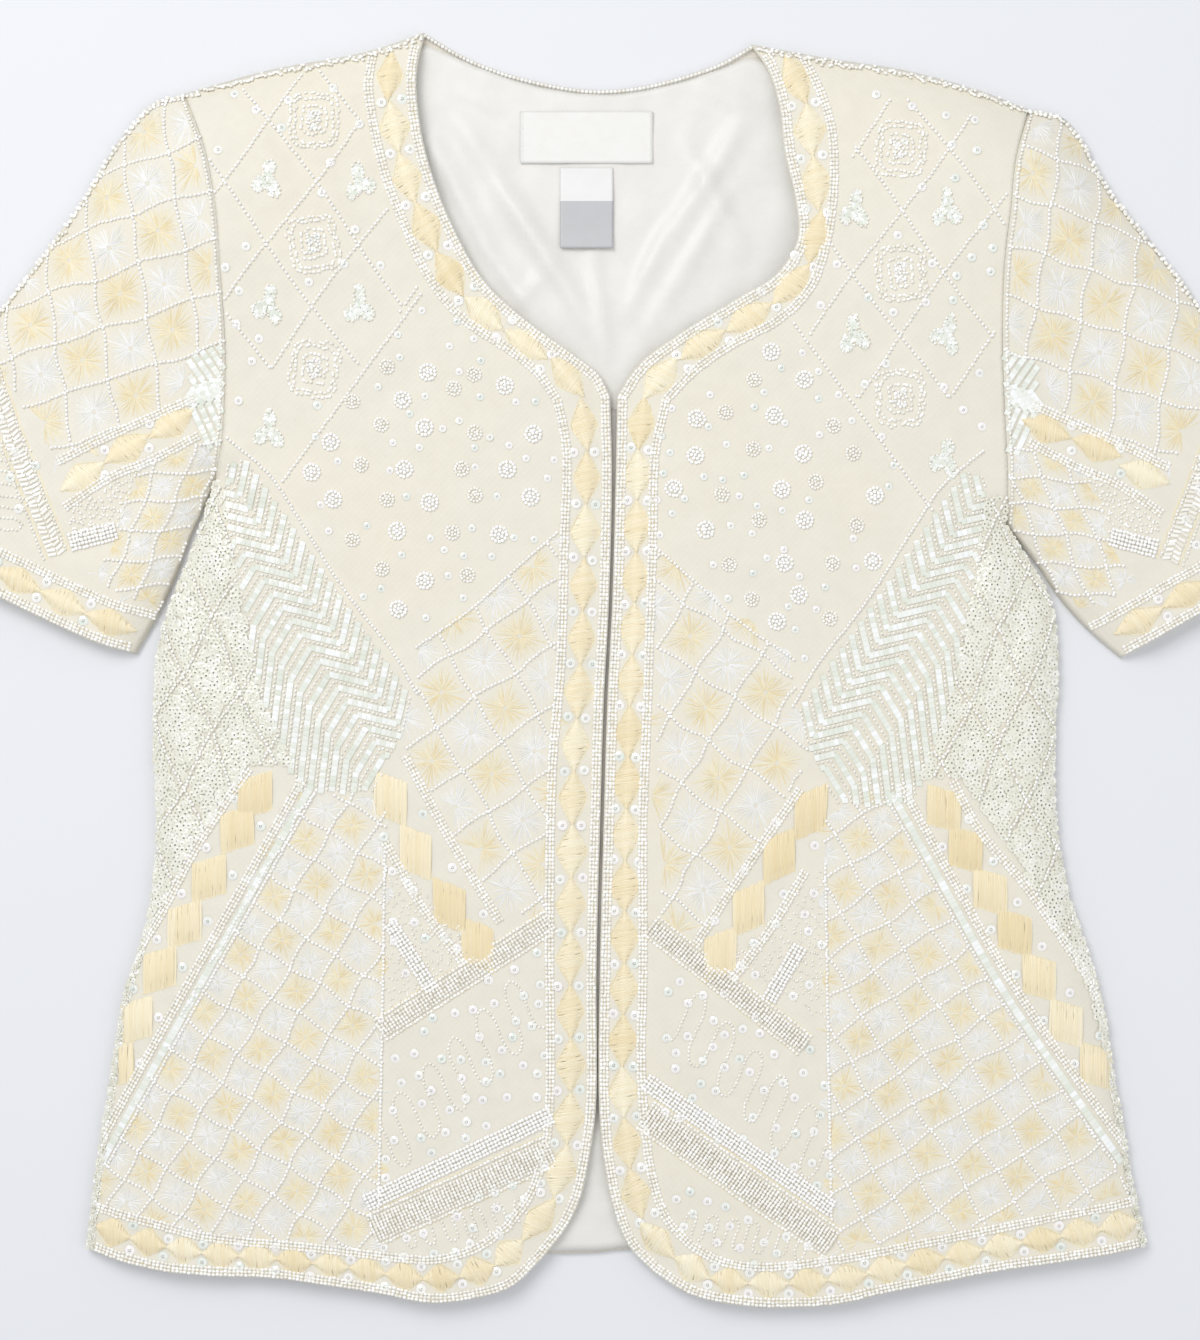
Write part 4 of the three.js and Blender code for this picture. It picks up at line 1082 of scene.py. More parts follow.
burstFacts = {"half": 0.46, "longest": 0.62, "centre": 0.56, "tip": 0.9, "thread": (0.9, 0.72, 0.9),
              "unevenTurn": 0.04, "margin": 0.45, "beadPitch": 2.05}
trellises = {
    "lowerTrellis": {"origin": (-143.7, -81.7), "steps": ((-8.4, -14.0), (14.0, -9.0)), "warm": 1,
                     "reach": 26, "spokes": 26},
    "upperTrellis": {"origin": (-83.9, -44.9), "steps": ((12.4, -20.9), (18.6, 13.2)), "warm": 1,
                     "reach": 12, "spokes": 34},
    "trellis": {"origin": (-237.2, 203.7), "steps": ((3.7, -24), (22, 6.8)), "warm": 0, "reach": 12,
                "spokes": 40},
    "small": {"origin": (-213, 88), "steps": ((-5.5, -14), (14.5, 1.0)), "warm": 0, "reach": 12,
              "spokes": 26},
}


def bent(points):
    x, y = points.T
    return points + np.column_stack([np.sin(y / 5.3 + x / 11) + 0.45 * np.sin(x / 3.7),
                                     np.sin(x / 4.9 - y / 9) + 0.45 * np.sin(y / 3.1)])


def starbursts(side, region, name, zone, shift):
    facts, burst = trellises[name], burstFacts
    reach, spokes = facts["reach"], facts["spokes"]
    zone = np.asarray(zone, float)
    origin = mirrored(side, [facts["origin"]], shift)[0]
    a, b = (np.array(mirroredStep(side, step), float) for step in facts["steps"])
    steps = np.arange(-reach, reach + 1)
    i, j = (grid.ravel() for grid in np.meshgrid(steps, steps))
    centres = bent(origin + i[:, None] * a + j[:, None] * b)
    margin = max(np.linalg.norm(a), np.linalg.norm(b))
    near = depthInside(centres, zone) > -margin * 0.5
    for centre, colour in zip(centres[near], (i + j + facts["warm"])[near] % 2):
        turn = np.linspace(0, 2 * math.pi, spokes, endpoint=False) + rng.uniform(0, 0.2)
        turn = turn + rng.normal(0, burst["unevenTurn"], spokes)
        heading = np.column_stack([np.cos(turn), np.sin(turn)])
        s, t = np.abs(np.linalg.solve(np.column_stack([a, b]), heading.T))
        long = burst["half"] / np.maximum(s, t) * rng.uniform(0.78, 1.0, spokes)
        long = np.minimum(long, burst["longest"] * margin)
        middle = centre + heading * long[:, None] * burst["centre"]
        keep = insideZone(centre + heading * long[:, None] * burst["tip"], zone)
        kind = "yellow_threads" if colour else "white_threads"
        share, width, rise = burst["thread"]
        size = np.column_stack([long * share, np.full(spokes, width), np.full(spokes, rise)])
        sewOn(kind, region, middle[keep], size[keep], turn[keep], (0.1, 1.0),
              margin=burst["margin"] * size[keep, 0])
    for along, across in ((a, b), (b, a)):
        for k in steps:
            line = origin + (k + 0.5) * across + np.linspace(-reach, reach, 8 * reach)[:, None] * along
            beadLine(region, bent(line), zone=zone, pitch=burst["beadPitch"])


barFacts = {"white": {"rowPitch": 1.75, "pitch": 1.85, "bead": (1.02, 1.0, 0.62), "lift": 0.9,
                      "tone": (0.4, 1.0)},
            "clear": {"rowPitch": 1.6, "pitch": 1.75, "bead": (0.84, 1.02, 0.66), "lift": 1.1,
                      "tone": (0.0, 0.9)}}


def beadBar(region, x1, y1, x2, y2, width, kind):
    facts = barFacts[kind]
    run = np.array([(x1, y1), (x2, y2)], float)
    rows = round(width / facts["rowPitch"])
    for k in range(rows):
        bow = 1 - (2 * (k + 0.5) / rows - 1) ** 2
        points, angle = rowAlong(run, facts["pitch"], (k + 0.5) * width / rows - width / 2)
        sewOn(f"{kind}_beads", region, shaken(points, 0.1), facts["bead"], angle, facts["tone"],
              lift=facts["lift"] * bow)


# Beside the lines to avoid, the small pieces lie lower, and their tone is darker there as painted shade in the
# grooves
grooveFacts = {"clear": 1.4, "reach": 9, "roundness": 0.7, "lift": 0.6, "slopes": (1.7, -2.3),
               "starts": range(-320, 480, 56)}


def fillZone(kind, region, zone, pitch, size, lean=0.2, tone=(0, 1), jitter=0.22, avoid=(), **options):
    zone = np.asarray(zone, float)
    low, high = zone.min(axis=0), zone.max(axis=0)
    x, y = np.meshgrid(np.arange(low[0], high[0], pitch), np.arange(low[1], high[1], pitch * 0.87))
    x[1::2] += pitch / 2
    points = shaken(np.column_stack([x.ravel(), y.ravel()]), pitch * jitter)
    points = points[insideZone(points, zone)]
    if len(avoid):
        gap = np.min([distanceToRun(points, run) for run in avoid], axis=0)
        points, gap = points[gap > grooveFacts["clear"]], gap[gap > grooveFacts["clear"]]
        swell = np.clip(gap / grooveFacts["reach"], 0, 1) ** grooveFacts["roundness"]
        # Painted shade: tones run darker toward the grooves
        tone = (0.1 + 0.3 * swell, 0.5 + 0.4 * swell)
        options["lift"] = grooveFacts["lift"] * swell
    sewOn(kind, region, points, size, rng.uniform(0, math.pi, len(points)), tone, lean=lean, **options)


def mirrored(side, rows, shift=(0.0, 0.0)):
    rows = np.asarray(rows, float)
    return rows if side == "right" else rows * (-1, 1) + (1.4 + shift[0], shift[1])


def mirroredStep(side, step):
    return step if side == "right" else (-step[0], step[1])


# Lower front

strips = {"right": [(-141.5, -56.5), (-244.4, -241)],
          "left": [(139.3, -60.2), (164, -104), (192.5, -154.3), (222, -198), (251.7, -240)]}
innerLines = {"right": [(-146.3, -54.2), (-248.6, -237)],
              "left": [(143.6, -55.5), (168.6, -101), (196.8, -150.5), (226.3, -194.3), (254.5, -233)]}
outerLines = {
    "right": [(-171.6, -48), (-196.8, -85.7), (-215.3, -120), (-231, -146), (-243, -190)],
    "left": [(169, -54), (183.2, -80), (202.7, -103), (223, -131.7), (241, -160), (251, -190)],
}
squareRows = {
    "right": [(-168.7, -61.4), (-177.4, -77.9), (-191, -101.7), (-203.1, -124), (-215.3, -146.3),
              (-226.9, -170.6), (-236.2, -192.9)],
    "left": [(165, -68), (175.5, -87.9), (187.3, -108.3), (199, -128), (211, -149.5), (224.5, -172),
             (239.5, -193)],
}
shortSquares = {
    "right": [(-103, -63), (-91, -89), (-74.5, -115), (-61, -134)],
    "left": [(100.5, -69.5), (85.2, -91), (70.3, -116.5), (56.5, -138.5)],
}
shortLines = {
    "right": [[(-96.4, -42), (-73, -85), (-50.2, -123)], [(-106, -84), (-87, -117), (-67.2, -143.9)]],
    "left": [[(95.4, -58), (70, -95), (44.4, -133.7)], [(98, -98), (80, -127), (62, -151)]],
}
beadBars = {
    "right": [(-115.3, -259, -25, -216.2, 9.0, "white"), (-112.5, -272.5, -25, -233.5, 12.5, "clear"),
              (-108.5, -175.5, -25, -122.1, 8.4, "clear"), (-103.6, -123, -82.8, -156.1, 7.6, "white")],
    "left": [(20, -199.7, 110.9, -261.9, 9.0, "white"), (20, -216, 110.9, -278.7, 12.5, "clear"),
             (22.6, -124.5, 97.8, -182.8, 8.4, "clear"), (95.4, -134.2, 79.8, -160.9, 7.6, "white")],
}
zones = {
    "lowerTrellis": [(-146, -60), (-106.1, -61.4), (-104.8, -93), (-107.2, -165.8), (-108.5, -255),
                     (-112, -283.5), (-140, -279), (-192, -274), (-247.5, -260.5), (-244.4, -243.4),
                     (-220.1, -194.9), (-183.7, -129.4)],
    "upperTrellis": [(-90, 10), (-64.8, 28.4), (-40.5, 50.2), (-22.5, 66.3), (-24, -15.3), (-27, -117.2),
                     (-48, -120), (-94, -44), (-98.8, -34.7), (-92, -12.9)],
    "chevrons": [(-184.2, 98), (-172, 103), (-147.3, 72.1), (-125.5, 38.1), (-101.2, 6.6), (-91.5, -10.4),
                 (-96.4, -29.9), (-106.1, -46.8), (-109.5, -60), (-147.3, -60), (-154.6, -44.4),
                 (-165.8, -15.3), (-171.6, 13.8), (-178.9, 52.7), (-184.2, 82.3)],
    "sideSequins": [(-200, 90), (-184.2, 87.6), (-178.9, 52.7), (-171.6, 13.8), (-165.8, -15.3),
                    (-151.2, -46.8), (-171.6, -46.5), (-198.4, -84.7), (-217, -118.9), (-233, -146),
                    (-243, -180), (-250, -180), (-235, -88.1), (-230, -44.4), (-230, 9), (-220, 60)],
    "besideBar": [(-104.6, -90), (-79.4, -115), (-58, -136), (-106, -166)],
    "betweenBars": [(-105.5, -183), (-27, -132), (-27, -209), (-110, -250)],
    "belowBars": [(-110, -279), (-28, -240), (-31, -256), (-43, -272), (-74.5, -286), (-100, -285)],
}
leftTrellis = [(136.5, -62), (107.5, -67.4), (106.2, -99), (108.6, -171.8), (109.9, -261), (114, -282.5),
               (162.5, -273.3), (223, -261.2), (256, -254.5), (249, -243), (219, -200), (189.5, -156),
               (161, -106)]
bustLines = [[(-183, 112), (-161.9, 93.9), (-147.3, 72.1), (-125.5, 38.1), (-101.2, 6.6), (-90, -12.9)],
             [(-91.5, 10), (-64.8, 28.4), (-40.5, 50.2), (-22.1, 66.3)],
             [(-106, -88), (-107.2, -165.8), (-109, -262)]]


# Wavy grooves between the sequins of the side, with one line of beads lying in each
def groove(start, slope):
    x = np.linspace(-260, -140, 30)
    return np.column_stack([x + 1.6 * np.sin(x / 5 + start), start + (x + 260) * slope])


# A lozenge is its half width, half depth and lean; sequins are steps from one to the next
lowerFacts = {
    "drop": (0.0, -6.0), "tile": (2.3, 3.6, 1.4), "tilePitch": 2.35, "besideTiles": 3.2,
    "longLozenge": (8.0, 9.2, 0.3), "shortLozenge": (7.6, 10.4, -0.42), "lozengeRise": 1.3,
    "lozengeTones": (0.05, 0.8), "frame": (8.4, 9.4, 2.6), "longSequins": ((-1.5, 14.8), (11.3, 1.5)),
    "shortSequins": ((9.5, 5.5), (-9.5, -5.5)), "barRope": 1.3, "barThread": 1.12,
    "loose": {"besideBar": 9, "betweenBars": 46, "belowBars": 18}, "looseGap": 7.5, "looseSequin": 2.3,
}


def lozenges(region, centres, shape, tilt):
    wide, tall, lean = lowerFacts[shape]
    frame = np.array([[wide, 0], [lean * wide * tilt, tall]])
    satinShape(region, centres, frame, lowerFacts["lozengeRise"], lowerFacts["lozengeTones"])


def lowerFront(side):
    region, facts, drop = f"{side} front", lowerFacts, lowerFacts["drop"]
    tilt = 1 if side == "right" else -1
    at = {name: mirrored(side, zone, drop) for name, zone in zones.items()}
    if side == "left":
        at["lowerTrellis"] = leftTrellis
    stripRun = smoothRun(strips[side], 30)
    points, angle = rowAlong(stripRun, facts["tilePitch"])
    sewOn("tile_sequins", region, points, facts["tile"], angle, (0, 1), lift=0.2)
    rope(region, smoothRun(innerLines[side], 30))
    beadLine(region, offsetRun(stripRun, facts["besideTiles"] * tilt))
    rope(region, smoothRun(outerLines[side], 20))
    lozenges(region, squareRows[side], "longLozenge", tilt)
    centres = np.array(squareRows[side], float)
    wide, tall, slant = facts["frame"]
    slant = slant * tilt
    for x, y in centres:
        threadLine(region, [(x - wide, y + tall - slant), (x + wide, y + tall + slant)], width=0.7)
        threadLine(region, [(x + wide, y - tall + slant), (x - wide, y - tall - slant)], width=0.7)
    for x, y in facts["longSequins"]:
        cupSequins(region, centres[1:] + (x * tilt, y))
    lozenges(region, shortSquares[side], "shortLozenge", tilt)
    centres = np.array(shortSquares[side], float)
    for x, y in facts["shortSequins"]:
        cupSequins(region, (centres[1:] + centres[:-1]) / 2 + (x * tilt, y))
    for run in shortLines[side]:
        rope(region, smoothRun(run, 16))
    for x1, y1, x2, y2, width, kind in beadBars[side]:
        beadBar(region, x1, y1, x2, y2, width, kind)
        across = np.array([(x1, y1), (x2, y2)], float)
        if kind == "clear":
            for shift in (-width / 2 - facts["barRope"], width / 2 + facts["barRope"]):
                beadLine(region, offsetRun(across, shift), "clear_beads", size="rope")
                threadLine(region, offsetRun(across, shift * facts["barThread"]), width=0.6)
    starbursts(side, region, "lowerTrellis", at["lowerTrellis"], drop)
    starbursts(side, region, "upperTrellis", at["upperTrellis"], (0, 0))
    grooves = [mirrored(side, groove(start, slope), drop) for slope in grooveFacts["slopes"]
               for start in grooveFacts["starts"]]
    fillZone("small_sequins", region, at["sideSequins"], 2.3, (1.8, 1.8, 0.9), 0.08, avoid=grooves)
    for run in grooves:
        beadLine(region, run, "clear_beads", at["sideSequins"], wander=0.2, tone=(0.5, 1.0), lift=0.5)
    chevronStripes(side, region, at["chevrons"])
    for run in bustLines:
        beadLine(region, smoothRun(mirrored(side, run, drop), 30))
    for zone, count in facts["loose"].items():
        cupSequins(region, scattered(at[zone], count, facts["looseGap"]), facts["looseSequin"])
    fillZone("clear_beads", region, at["besideBar"], 2.9, (0.6, 0.6, 0.6), 0, (0, 0.8), 0.45)
    for zone, loop in loopFacts.items():
        if zone in at:
            beadLine(region, mirrored(side, loops(loop), drop), "clear_beads", at[zone], size="rosette",
                     pitch=2.0)


def scattered(zone, count, apart):
    found = np.empty((0, 2))
    for candidate in rng.uniform(zone.min(axis=0), zone.max(axis=0), (4000, 2)):
        if len(found) == count:
            break
        crowded = len(found) and np.linalg.norm(found - candidate, axis=1).min() <= apart
        if insideZone(candidate[None], zone)[0] and not crowded:
            found = np.vstack([found, candidate])
    return found


# Finger loops of small clear beads: a wave that steps aside, wide at its crests
loopFacts = {
    "betweenBars": {"from": (-54.2, -179.5), "step": (-13.3, -13.3), "reach": (-6.0, 13.6),
                    "span": (-1.5, 4.3)},
    "belowBars": {"from": (-50.0, -266.0), "step": (-10.0, -1.6), "reach": (-2.4, 7.0),
                  "span": (-1.5, 5.0)},
    "outer": {"from": (-286.0, 92.0), "step": (-3.0, -11.0), "reach": (10.0, -1.0), "span": (-2.0, 2.6)},
}


def loops(facts):
    at = np.linspace(*facts["span"], 240)
    wave = np.cos(2 * math.pi * at)
    ahead = at + 0.1 * np.sin(4 * math.pi * at) + 0.04 * np.sin(2.3 * at)
    return facts["from"] + np.outer(ahead, facts["step"]) + np.outer(wave, facts["reach"])


# Stepped stripes of square sequins with a thin line of beads between them
stripeFacts = {"base": [(0, 0), (-4, -17), (-23.5, -12.3), (-33, -28), (-37, -60), (-41, -112)],
               "from": (-186, 120), "step": (4.5, -6.5), "count": 30, "tile": (2.45, 2.9, 1.6),
               "pitch": 2.5}


def chevronStripes(side, region, zone):
    base = np.array(stripeFacts["base"], float)
    for k in range(stripeFacts["count"]):
        run = mirrored(side, base + np.array(stripeFacts["from"]) + k * np.array(stripeFacts["step"]),
                       (0, -6))
        points, angle = rowAlong(run, stripeFacts["pitch"])
        keep = insideZone(points, zone)
        sewOn("tile_sequins", region, points[keep], stripeFacts["tile"], angle[keep], (0, 1), lift=0.3,
              lean=0.05)
        beadLine(region, run + mirroredStep(side, (2.3, -3.2)), "clear_beads", zone=zone, size="rosette",
                 pitch=2.2)


# Bust: round clusters of beads, white and clear by turns, and single sequins between them

rosetteFacts = {"across": 24.0, "up": 17.0, "jitter": 2.6, "inset": 5.5,
                "rings": ((1, 0.0), (6, 1.85), (13, 3.7)),
                "white": {"scale": 1.0, "tone": (0.5, 1.0)}, "clear": {"scale": 0.86, "tone": (0.2, 0.75)},
                "bead": (1.0, 1.0, 0.76), "sequins": 60, "sequinGap": 8.5, "clearance": 6.3}
bustZone = [(-88, 181), (-66, 166), (-46, 152), (-31, 141), (-24, 126), (-23, 70), (-41, 54), (-64, 32),
            (-90, 12), (-103, 13), (-125, 44), (-147, 78), (-156, 90), (-133, 127), (-114, 152)]


def depthInside(points, zone):
    depth = distanceToRun(points, np.vstack([zone, zone[:1]]))
    return np.where(insideZone(points, zone), depth, -depth)


# Rows set half a step over, each point a little off its place, and whether its turn is odd
def staggered(zone, across, up, jitter, inset):
    low, high = zone.min(axis=0), zone.max(axis=0)
    x, y = np.meshgrid(np.arange(low[0], high[0], across), np.arange(low[1], high[1], up))
    x[1::2] += across / 2
    row, column = np.indices(x.shape)
    points = shaken(np.column_stack([x.ravel(), y.ravel()]), jitter)
    keep = depthInside(points, zone) > inset
    return points[keep], (row + column).ravel()[keep] % 2


def bust(side):
    region, facts = f"{side} front", rosetteFacts
    zone = mirrored(side, bustZone, (0.0, -10.0))
    centres, odd = staggered(zone, facts["across"], facts["up"], facts["jitter"], facts["inset"])
    for centre, whiteTurn in zip(centres, odd):
        name = "white" if whiteTurn else "clear"
        scale, tone = facts[name]["scale"], facts[name]["tone"]
        for count, radius in facts["rings"]:
            turn = np.linspace(0, 2 * math.pi, count, endpoint=False) + rng.uniform(0, 1)
            ring = centre + scale * radius * np.column_stack([np.cos(turn), np.sin(turn)])
            size = np.array(facts["bead"]) * scale
            sewOn(f"{name}_beads", region, shaken(ring, 0.1), size, turn, tone, lift=0.5 - 0.12 * radius)
    free = scattered(zone, facts["sequins"], facts["sequinGap"])
    gap = np.linalg.norm(free[:, None] - centres[None], axis=2).min(axis=1)
    cupSequins(region, free[gap > facts["clearance"]], 1.9)


# Yoke: a diamond lattice of bead lines, its cells holding beaded squares and sequin leaves row by row

yokeFacts = {"cell": (44.0, 60.0), "start": (-140.0, 235.0), "shift": (2.0, -14.0), "reach": 6,
             "sway": 1.5, "pitch": 2.3, "rings": ((11.4, 13.0), (9.4, 11.0), (5.6, 6.8)),
             "squareInset": 11.0, "squareRoundness": 0.4, "leafInset": 8.0, "leaf": (7.6, 10.4), "leafLobes": 3,
             "sequins": 46, "sequinGap": 11, "sequinClearance": 15, "sequin": 2.2,
             "shoulder": {"rows": 3, "inset": 2.2, "pitch": 2.4, "bead": (0.95, 0.8, 1.3), "shake": 0.9}}
yokeZone = [(-194, 276), (-165, 286), (-118, 294), (-117, 262), (-104, 220), (-90, 184), (-114.8, 152),
            (-156, 90), (-180, 115), (-184, 160)]
yokeLowerEdge = [(-88, 182), (-156, 90)]


def beadedSquare(region, x, y):
    lean = rng.normal(0, 0.09)
    turned = np.array([[math.cos(lean), math.sin(lean)], [-math.sin(lean), math.cos(lean)]])
    turn = np.linspace(0, 2 * math.pi, 60)
    c, s = np.cos(turn), np.sin(turn)
    power = yokeFacts["squareRoundness"]
    for half, tall in yokeFacts["rings"]:
        plan = np.column_stack([half * np.sign(c) * np.abs(c) ** power,
                                tall * np.sign(s) * np.abs(s) ** power])
        beadLine(region, plan @ turned + (x, y), "clear_beads", pitch=2.1, wander=0.42, size="rope")
    cupSequins(region, [(x, y - 3), (x - 1.6, y + 1.5), (x + 1.8, y + 3.6)], 1.6)
    middle = [(x - 3.5, y - 5), (x + 3.5, y - 5), (x + 3.5, y + 5), (x - 3.5, y + 5)]
    fillZone("white_beads", region, middle, 1.9, (0.8, 0.8, 1.0), 0)


def sequinLeaf(region, x, y):
    lean = rng.uniform(-0.5, 0.5)
    turn = np.linspace(0, 2 * math.pi, 49)
    lobes = 0.66 + 0.34 * np.cos(yokeFacts["leafLobes"] * (turn - math.pi / 2))
    wide, tall = yokeFacts["leaf"]
    plan = np.column_stack([wide * lobes * np.cos(turn + lean), tall * lobes * np.sin(turn + lean)])
    plan = plan + (x, y)
    fillZone("tile_sequins", region, plan, 2.1, (2.3, 2.3, 1.5), 0.12, jitter=0.12, lift=0.2)
    beadLine(region, plan, "clear_beads", size="rosette", pitch=2.0)


def yoke(side):
    region, facts, shift = f"{side} front", yokeFacts, yokeFacts["shift"]
    zone = mirrored(side, yokeZone, shift)
    first = mirrored(side, [facts["start"]], shift)[0]
    wide, tall = facts["cell"]
    steps = np.arange(-facts["reach"], facts["reach"] + 1)
    for k in steps:
        for slope in (-1, 1):
            line = first + (k * wide, 0) + np.outer(np.linspace(-3, 3, 61), (wide / 2, slope * tall / 2))
            line[:, 0] += facts["sway"] * np.sin(line[:, 1] / 17)
            beadLine(region, line, zone=zone, pitch=facts["pitch"])
    beadLine(region, mirrored(side, yokeLowerEdge, shift), pitch=facts["pitch"])
    i, j = (grid.ravel() for grid in np.meshgrid(steps, steps))
    cells = first + np.column_stack([(i + j + 1) * wide / 2, (i - j) * tall / 2])
    depth = depthInside(cells, zone)
    squareCells = cells[(depth > facts["squareInset"]) & ((i - j) % 2 == 1)]
    leafCells = cells[(depth > facts["leafInset"]) & ((i - j) % 2 == 0)]
    for x, y in squareCells:
        beadedSquare(region, x, y)
    for x, y in leafCells:
        sequinLeaf(region, x, y)
    free = scattered(zone, facts["sequins"], facts["sequinGap"])
    taken = np.vstack([squareCells, leafCells])
    gap = np.linalg.norm(free[:, None] - taken[None], axis=2).min(axis=1)
    cupSequins(region, free[gap > facts["sequinClearance"]], facts["sequin"])
    shoulder = facts["shoulder"]
    inset = offsetRun(smoothRun(seams[side]["shoulder"], 60),
                      -shoulder["inset"] if side == "right" else shoulder["inset"])
    for k in range(shoulder["rows"]):
        points, angle = rowAlong(inset, shoulder["pitch"])
        sewOn("clear_beads", region, shaken(points, shoulder["shake"]), shoulder["bead"], angle, (0, 1),
              margin=0.3, lift=0.3)


# Sleeves: starburst trellis, a slanting satin band, a smaller trellis and the beaded cuff

sleeveZones = {
    "trellis": [(-300, 168), (-263.8, 236), (-244.4, 264), (-229.8, 281), (-197, 284), (-185, 242),
                (-184, 200.7), (-181, 157), (-202.2, 149.7), (-203.1, 131.5), (-264.8, 101.5),
                (-273.5, 112), (-292.9, 150)],
    "small": [(-220.3, 103.6), (-184, 112), (-180, 90), (-192, 60), (-204, 22), (-219, 29), (-251, 45),
              (-238, 57), (-233, 82)],
    "clear": [(-259.4, 76.5), (-224, 98), (-229, 87), (-235.7, 66.8), (-257.5, 61), (-260.4, 66.7)],
    "outer": [(-372, 66), (-300, 168), (-290, 150), (-281, 118), (-262, 57), (-275, 47), (-300, 56)],
    "armTiles": [(-200, 152), (-178.4, 157), (-178.4, 118), (-184.2, 96.4), (-194, 106), (-202.6, 128)],
}
leafLines = [[(-264.8, 100.2), (-234.7, 114.8), (-197.8, 131)],
             [(-261.4, 77.9), (-239.5, 92.5), (-219.6, 100.7), (-196, 113)]]
leafDiamonds = {"right": [(-252.2, 92.9), (-230.8, 106.5), (-209, 118.6)],
                "left": [(214.3, 116), (239, 107), (262, 94)]}
sleeveFacts = {"shift": (8.0, -3.0), "diamond": (25.5, 13.0, 1.5), "diamondSequins": (0, 6),
               "clearBead": (0.72, 0.72, 0.7), "clearPitch": 2.3, "bar": [(-259, 61), (-236, 67)],
               "barWidth": 9.5, "loose": 14, "looseGap": 9, "armholeInset": 2.0}
sleeveTubes = {"run": [(-295, 158), (-283.2, 120.6), (-259, 57)], "width": 10.5, "slope": 0.4,
               "pitch": 2.3, "size": (3.9, 1.5, 1.1), "rows": ((0.36, 0.35), (0.72, -0.15))}
armTiles = {"run": [(-206, 150), (-197, 137), (-207, 124), (-198, 104)], "step": (3.9, 1.2), "rows": 7,
            "pitch": 2.5, "tile": (2.45, 2.8, 1.5)}


def sleeve(side):
    region, facts, shift = f"{side} sleeve", sleeveFacts, sleeveFacts["shift"]
    at = {name: mirrored(side, zone, shift) for name, zone in sleeveZones.items()}
    cuffBorder(side)
    for name in ("trellis", "small"):
        starbursts(side, region, name, at[name], shift)
    tube = sleeveTubes
    run = smoothRun(mirrored(side, tube["run"], shift), 30)
    for aside in (0, tube["width"]):
        line = run - mirroredStep(side, (aside, tube["slope"] * aside))
        threadLine(region, line)
        beadLine(region, line - mirroredStep(side, (1.4, 0.5)), "clear_beads", size="rosette", wander=0.2)
    for aside, turn in tube["rows"]:
        line = run - mirroredStep(side, (aside * tube["width"], tube["slope"] * aside * tube["width"]))
        points, angle = rowAlong(line, tube["pitch"])
        sewOn("bugles", region, shaken(points, 0.2), tube["size"],
              angle + math.pi / 2 + turn + rng.normal(0, 0.12, len(angle)), (0, 0.8), lift=0.1)
    for run in leafLines:
        rope(region, smoothRun(mirrored(side, run, shift), 20))
    centres = np.array(leafDiamonds[side])
    step = centres[1] - centres[0]
    each = np.ones(len(centres))
    long, wide, rise = facts["diamond"]
    satinLens(region, centres, math.atan2(step[1], step[0]) * each, long * each, wide * each, rise)
    between = (centres[1:] + centres[:-1]) / 2
    cupSequins(region, np.vstack([between + facts["diamondSequins"], between - facts["diamondSequins"]]))
    fillZone("clear_beads", region, at["clear"], facts["clearPitch"], facts["clearBead"], 0, (0.2, 1), 0.4)
    beadBar(region, *mirrored(side, facts["bar"], shift).ravel(), facts["barWidth"], "white")
    cupSequins(region, scattered(at["outer"], facts["loose"], facts["looseGap"]))
    beadLine(region, mirrored(side, loops(loopFacts["outer"]), shift), "clear_beads", at["outer"],
             size="rosette", pitch=2.0)
    for k in range(armTiles["rows"]):
        aside = (armTiles["step"][0] * k, armTiles["step"][1] * k)
        points, angle = rowAlong(mirrored(side, np.array(armTiles["run"]) + aside, shift),
                                 armTiles["pitch"])
        keep = insideZone(points, at["armTiles"])
        sewOn("tile_sequins", region, points[keep], armTiles["tile"], angle[keep], (0, 1), lift=0.3,
              lean=0.05)
    outward = 1 if side == "right" else -1
    armhole = smoothRun(seams[side]["armhole"], 60)
    beadLine(region, offsetRun(armhole, outward * facts["armholeInset"]), "clear_beads")


# Beads and sequins that stand out a little along the closed edges
edgeFacts = {"rows": (("side", "front", "small_sequins", 1.6, 3),
                      ("sleeveOuter", "sleeve", "clear_beads", 2.6, 2)),
             "inset": 0.5, "rowStep": 0.9, "shake": 0.35, "size": (1.2, 1.2, 1.2)}


def edgeBeads(side):
    turn = -1 if side == "right" else 1
    for leg, form, kind, pitch, rows in edgeFacts["rows"]:
        run = smoothRun(seams[side][leg], 80)
        for k in range(rows):
            points, angle = rowAlong(run, pitch)
            inward = np.column_stack([-np.sin(angle), np.cos(angle)]) * (turn if form == "front" else -turn)
            points = shaken(points + inward * (edgeFacts["inset"] + edgeFacts["rowStep"] * k),
                            edgeFacts["shake"])
            sewOn(kind, f"{side} {form}", points, edgeFacts["size"], angle, (0, 1), margin=0.05, lean=0.3)


for side in seams:
    edgeBeads(side)
    frontBorder(side)
    lowerFront(side)
    bust(side)
    yoke(side)
    sleeve(side)
neckRow, neckAngle = rowAlong(offsetRun(smoothRun(backNeck, 60), -1.2), 2.0)
sewOn("clear_beads", "lining", neckRow, (1.0, 0.9, 1.2), neckAngle, (0, 1))
print("beadwork laid out")

# Labels and closure tape

labels = {
    "neck": {"corners": (-40.5, 245.9, 24, 271.1), "under": 3.6, "wall": 0.7, "columns": 40, "rows": 16},
    "care": {"corners": (-21.1, 204.5, 4.6, 243.8), "under": 3.6, "wall": 0.7, "curl": 1.4, "curlReach": 39.3,
             "paleShare": 0.4,
             "columns": 24, "rows": 36},
    "tape": {"halfWidth": 6.0, "from": 0.015, "to": 0.76, "drop": 2.3, "wall": 0.8, "columns": 8,
             "rows": 110},
}


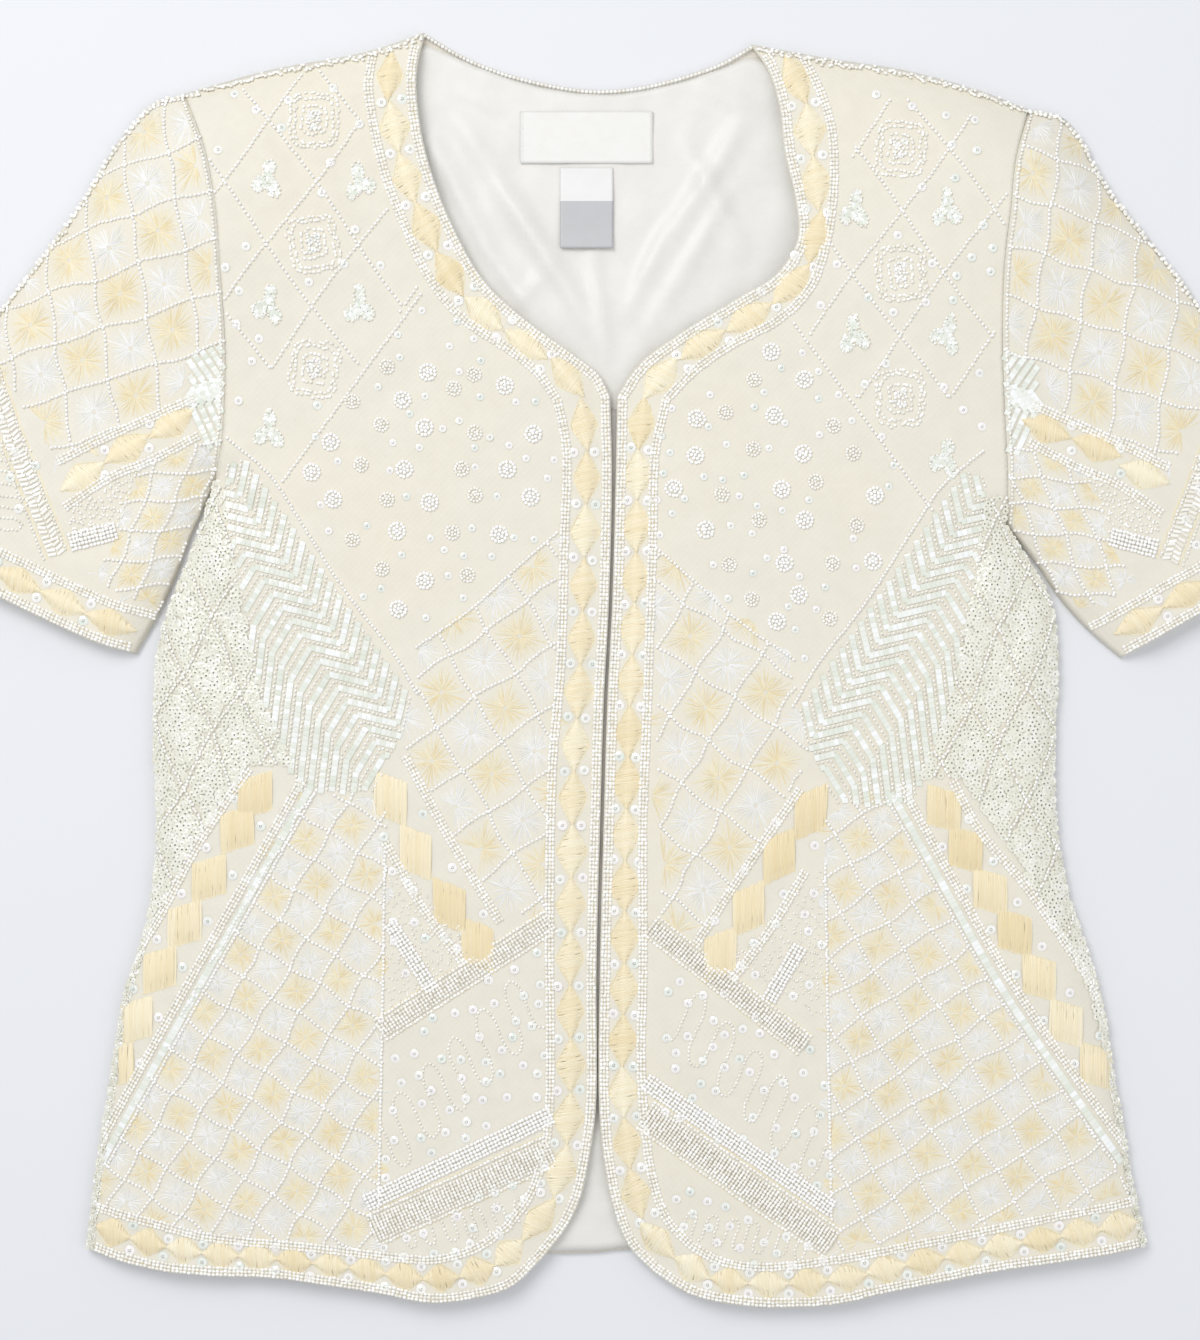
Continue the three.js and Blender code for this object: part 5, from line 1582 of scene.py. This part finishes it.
def makeLabel(name, facts, solidName, slotName, height, *materials):
    x1, y1, x2, y2 = facts["corners"]

    def place(u, v):
        x, y = np.meshgrid(x1 + u * (x2 - x1), y1 + v * (y2 - y1))
        return np.dstack([x, y + plumb, facts["under"] + facts["wall"] + height(x, y)])

    made = layCloth(name, facts, place, materials[0], solidName, slotName, recalculate=False,
                    flat=((x2 - x1) * mm, (y2 - y1) * mm), rests_on=["back_lining_cloth"])
    for material in materials[1:]:
        made.data.materials.append(material)
        split = y2 - (y2 - y1) * facts["paleShare"]
        for face in made.data.polygons:
            face.material_index = int(face.center.y < split * mm)


def careCurl(x, y):
    facts = labels["care"]
    rise = np.clip((facts["corners"][3] - y) / facts["curlReach"], 0, 1)
    return facts["curl"] * rise ** 2 + 0.1 * np.sin(y / 5)


makeLabel("neck_label_cloth", labels["neck"], "neck_label", "woven_label",
          lambda x, y: 0.12 * np.sin(x / 7) * np.cos(y / 9), labelWeave)
makeLabel("care_label_cloth", labels["care"], "care_label", "care_ribbon", careCurl, ribbonWhite,
          ribbonGrey)


def closureTape():
    facts = labels["tape"]

    def place(u, v):
        fractions = facts["from"] + v * (facts["to"] - facts["from"])
        right, left = (smoothRun(seams[side]["edge"], fractions=fractions) for side in ("right", "left"))
        z = np.minimum(heightAt("right front", right), heightAt("left front", left)) - facts["drop"]
        x = (right[:, :1] + left[:, :1]) / 2 + (2 * u[None] - 1) * facts["halfWidth"]
        y = np.repeat(right[:, 1:], len(u), axis=1)
        return np.dstack([x, y + plumb, np.repeat(z[:, None], len(u), axis=1)])

    length = runLength(seams["right"]["edge"]) * (facts["to"] - facts["from"]) * mm
    layCloth("closure_tape_cloth", facts, place, tapeWeave, "closure_tape", "closure_tape",
             flat=(2 * facts["halfWidth"] * mm, length))


closureTape()
x1, y1, x2, y2 = labels["neck"]["corners"]
for x in (x1 + 1.2, x2 - 1.2):
    ends, angle = rowAlong([(x, y1 + 0.8), (x, y2 - 0.8)], 2.2)
    sewOn("white_threads", "lining", ends, (1.7, 0.5, 0.5), angle, lift=1.25)
finishSewn()
print("labels, tape and beadwork in place")

floorFacts = {"half": 1.6, "below": -0.0004}
bm = bmesh.new()
bmesh.ops.create_grid(bm, x_segments=1, y_segments=1, size=floorFacts["half"])
bmesh.ops.translate(bm, vec=(0, 0, floorFacts["below"]), verts=bm.verts)
floorMesh = bpy.data.meshes.new("floor")
bm.to_mesh(floorMesh)
bm.free()
floor = bpy.data.objects.new("floor", floorMesh)
floorMaterial, _, floorShader = startMaterial("paleFloor", 0.7)
floorShader.inputs["Base Color"].default_value = (0.82, 0.828, 0.848, 1)
floorMesh.materials.append(floorMaterial)
bpy.context.scene.collection.objects.link(floor)
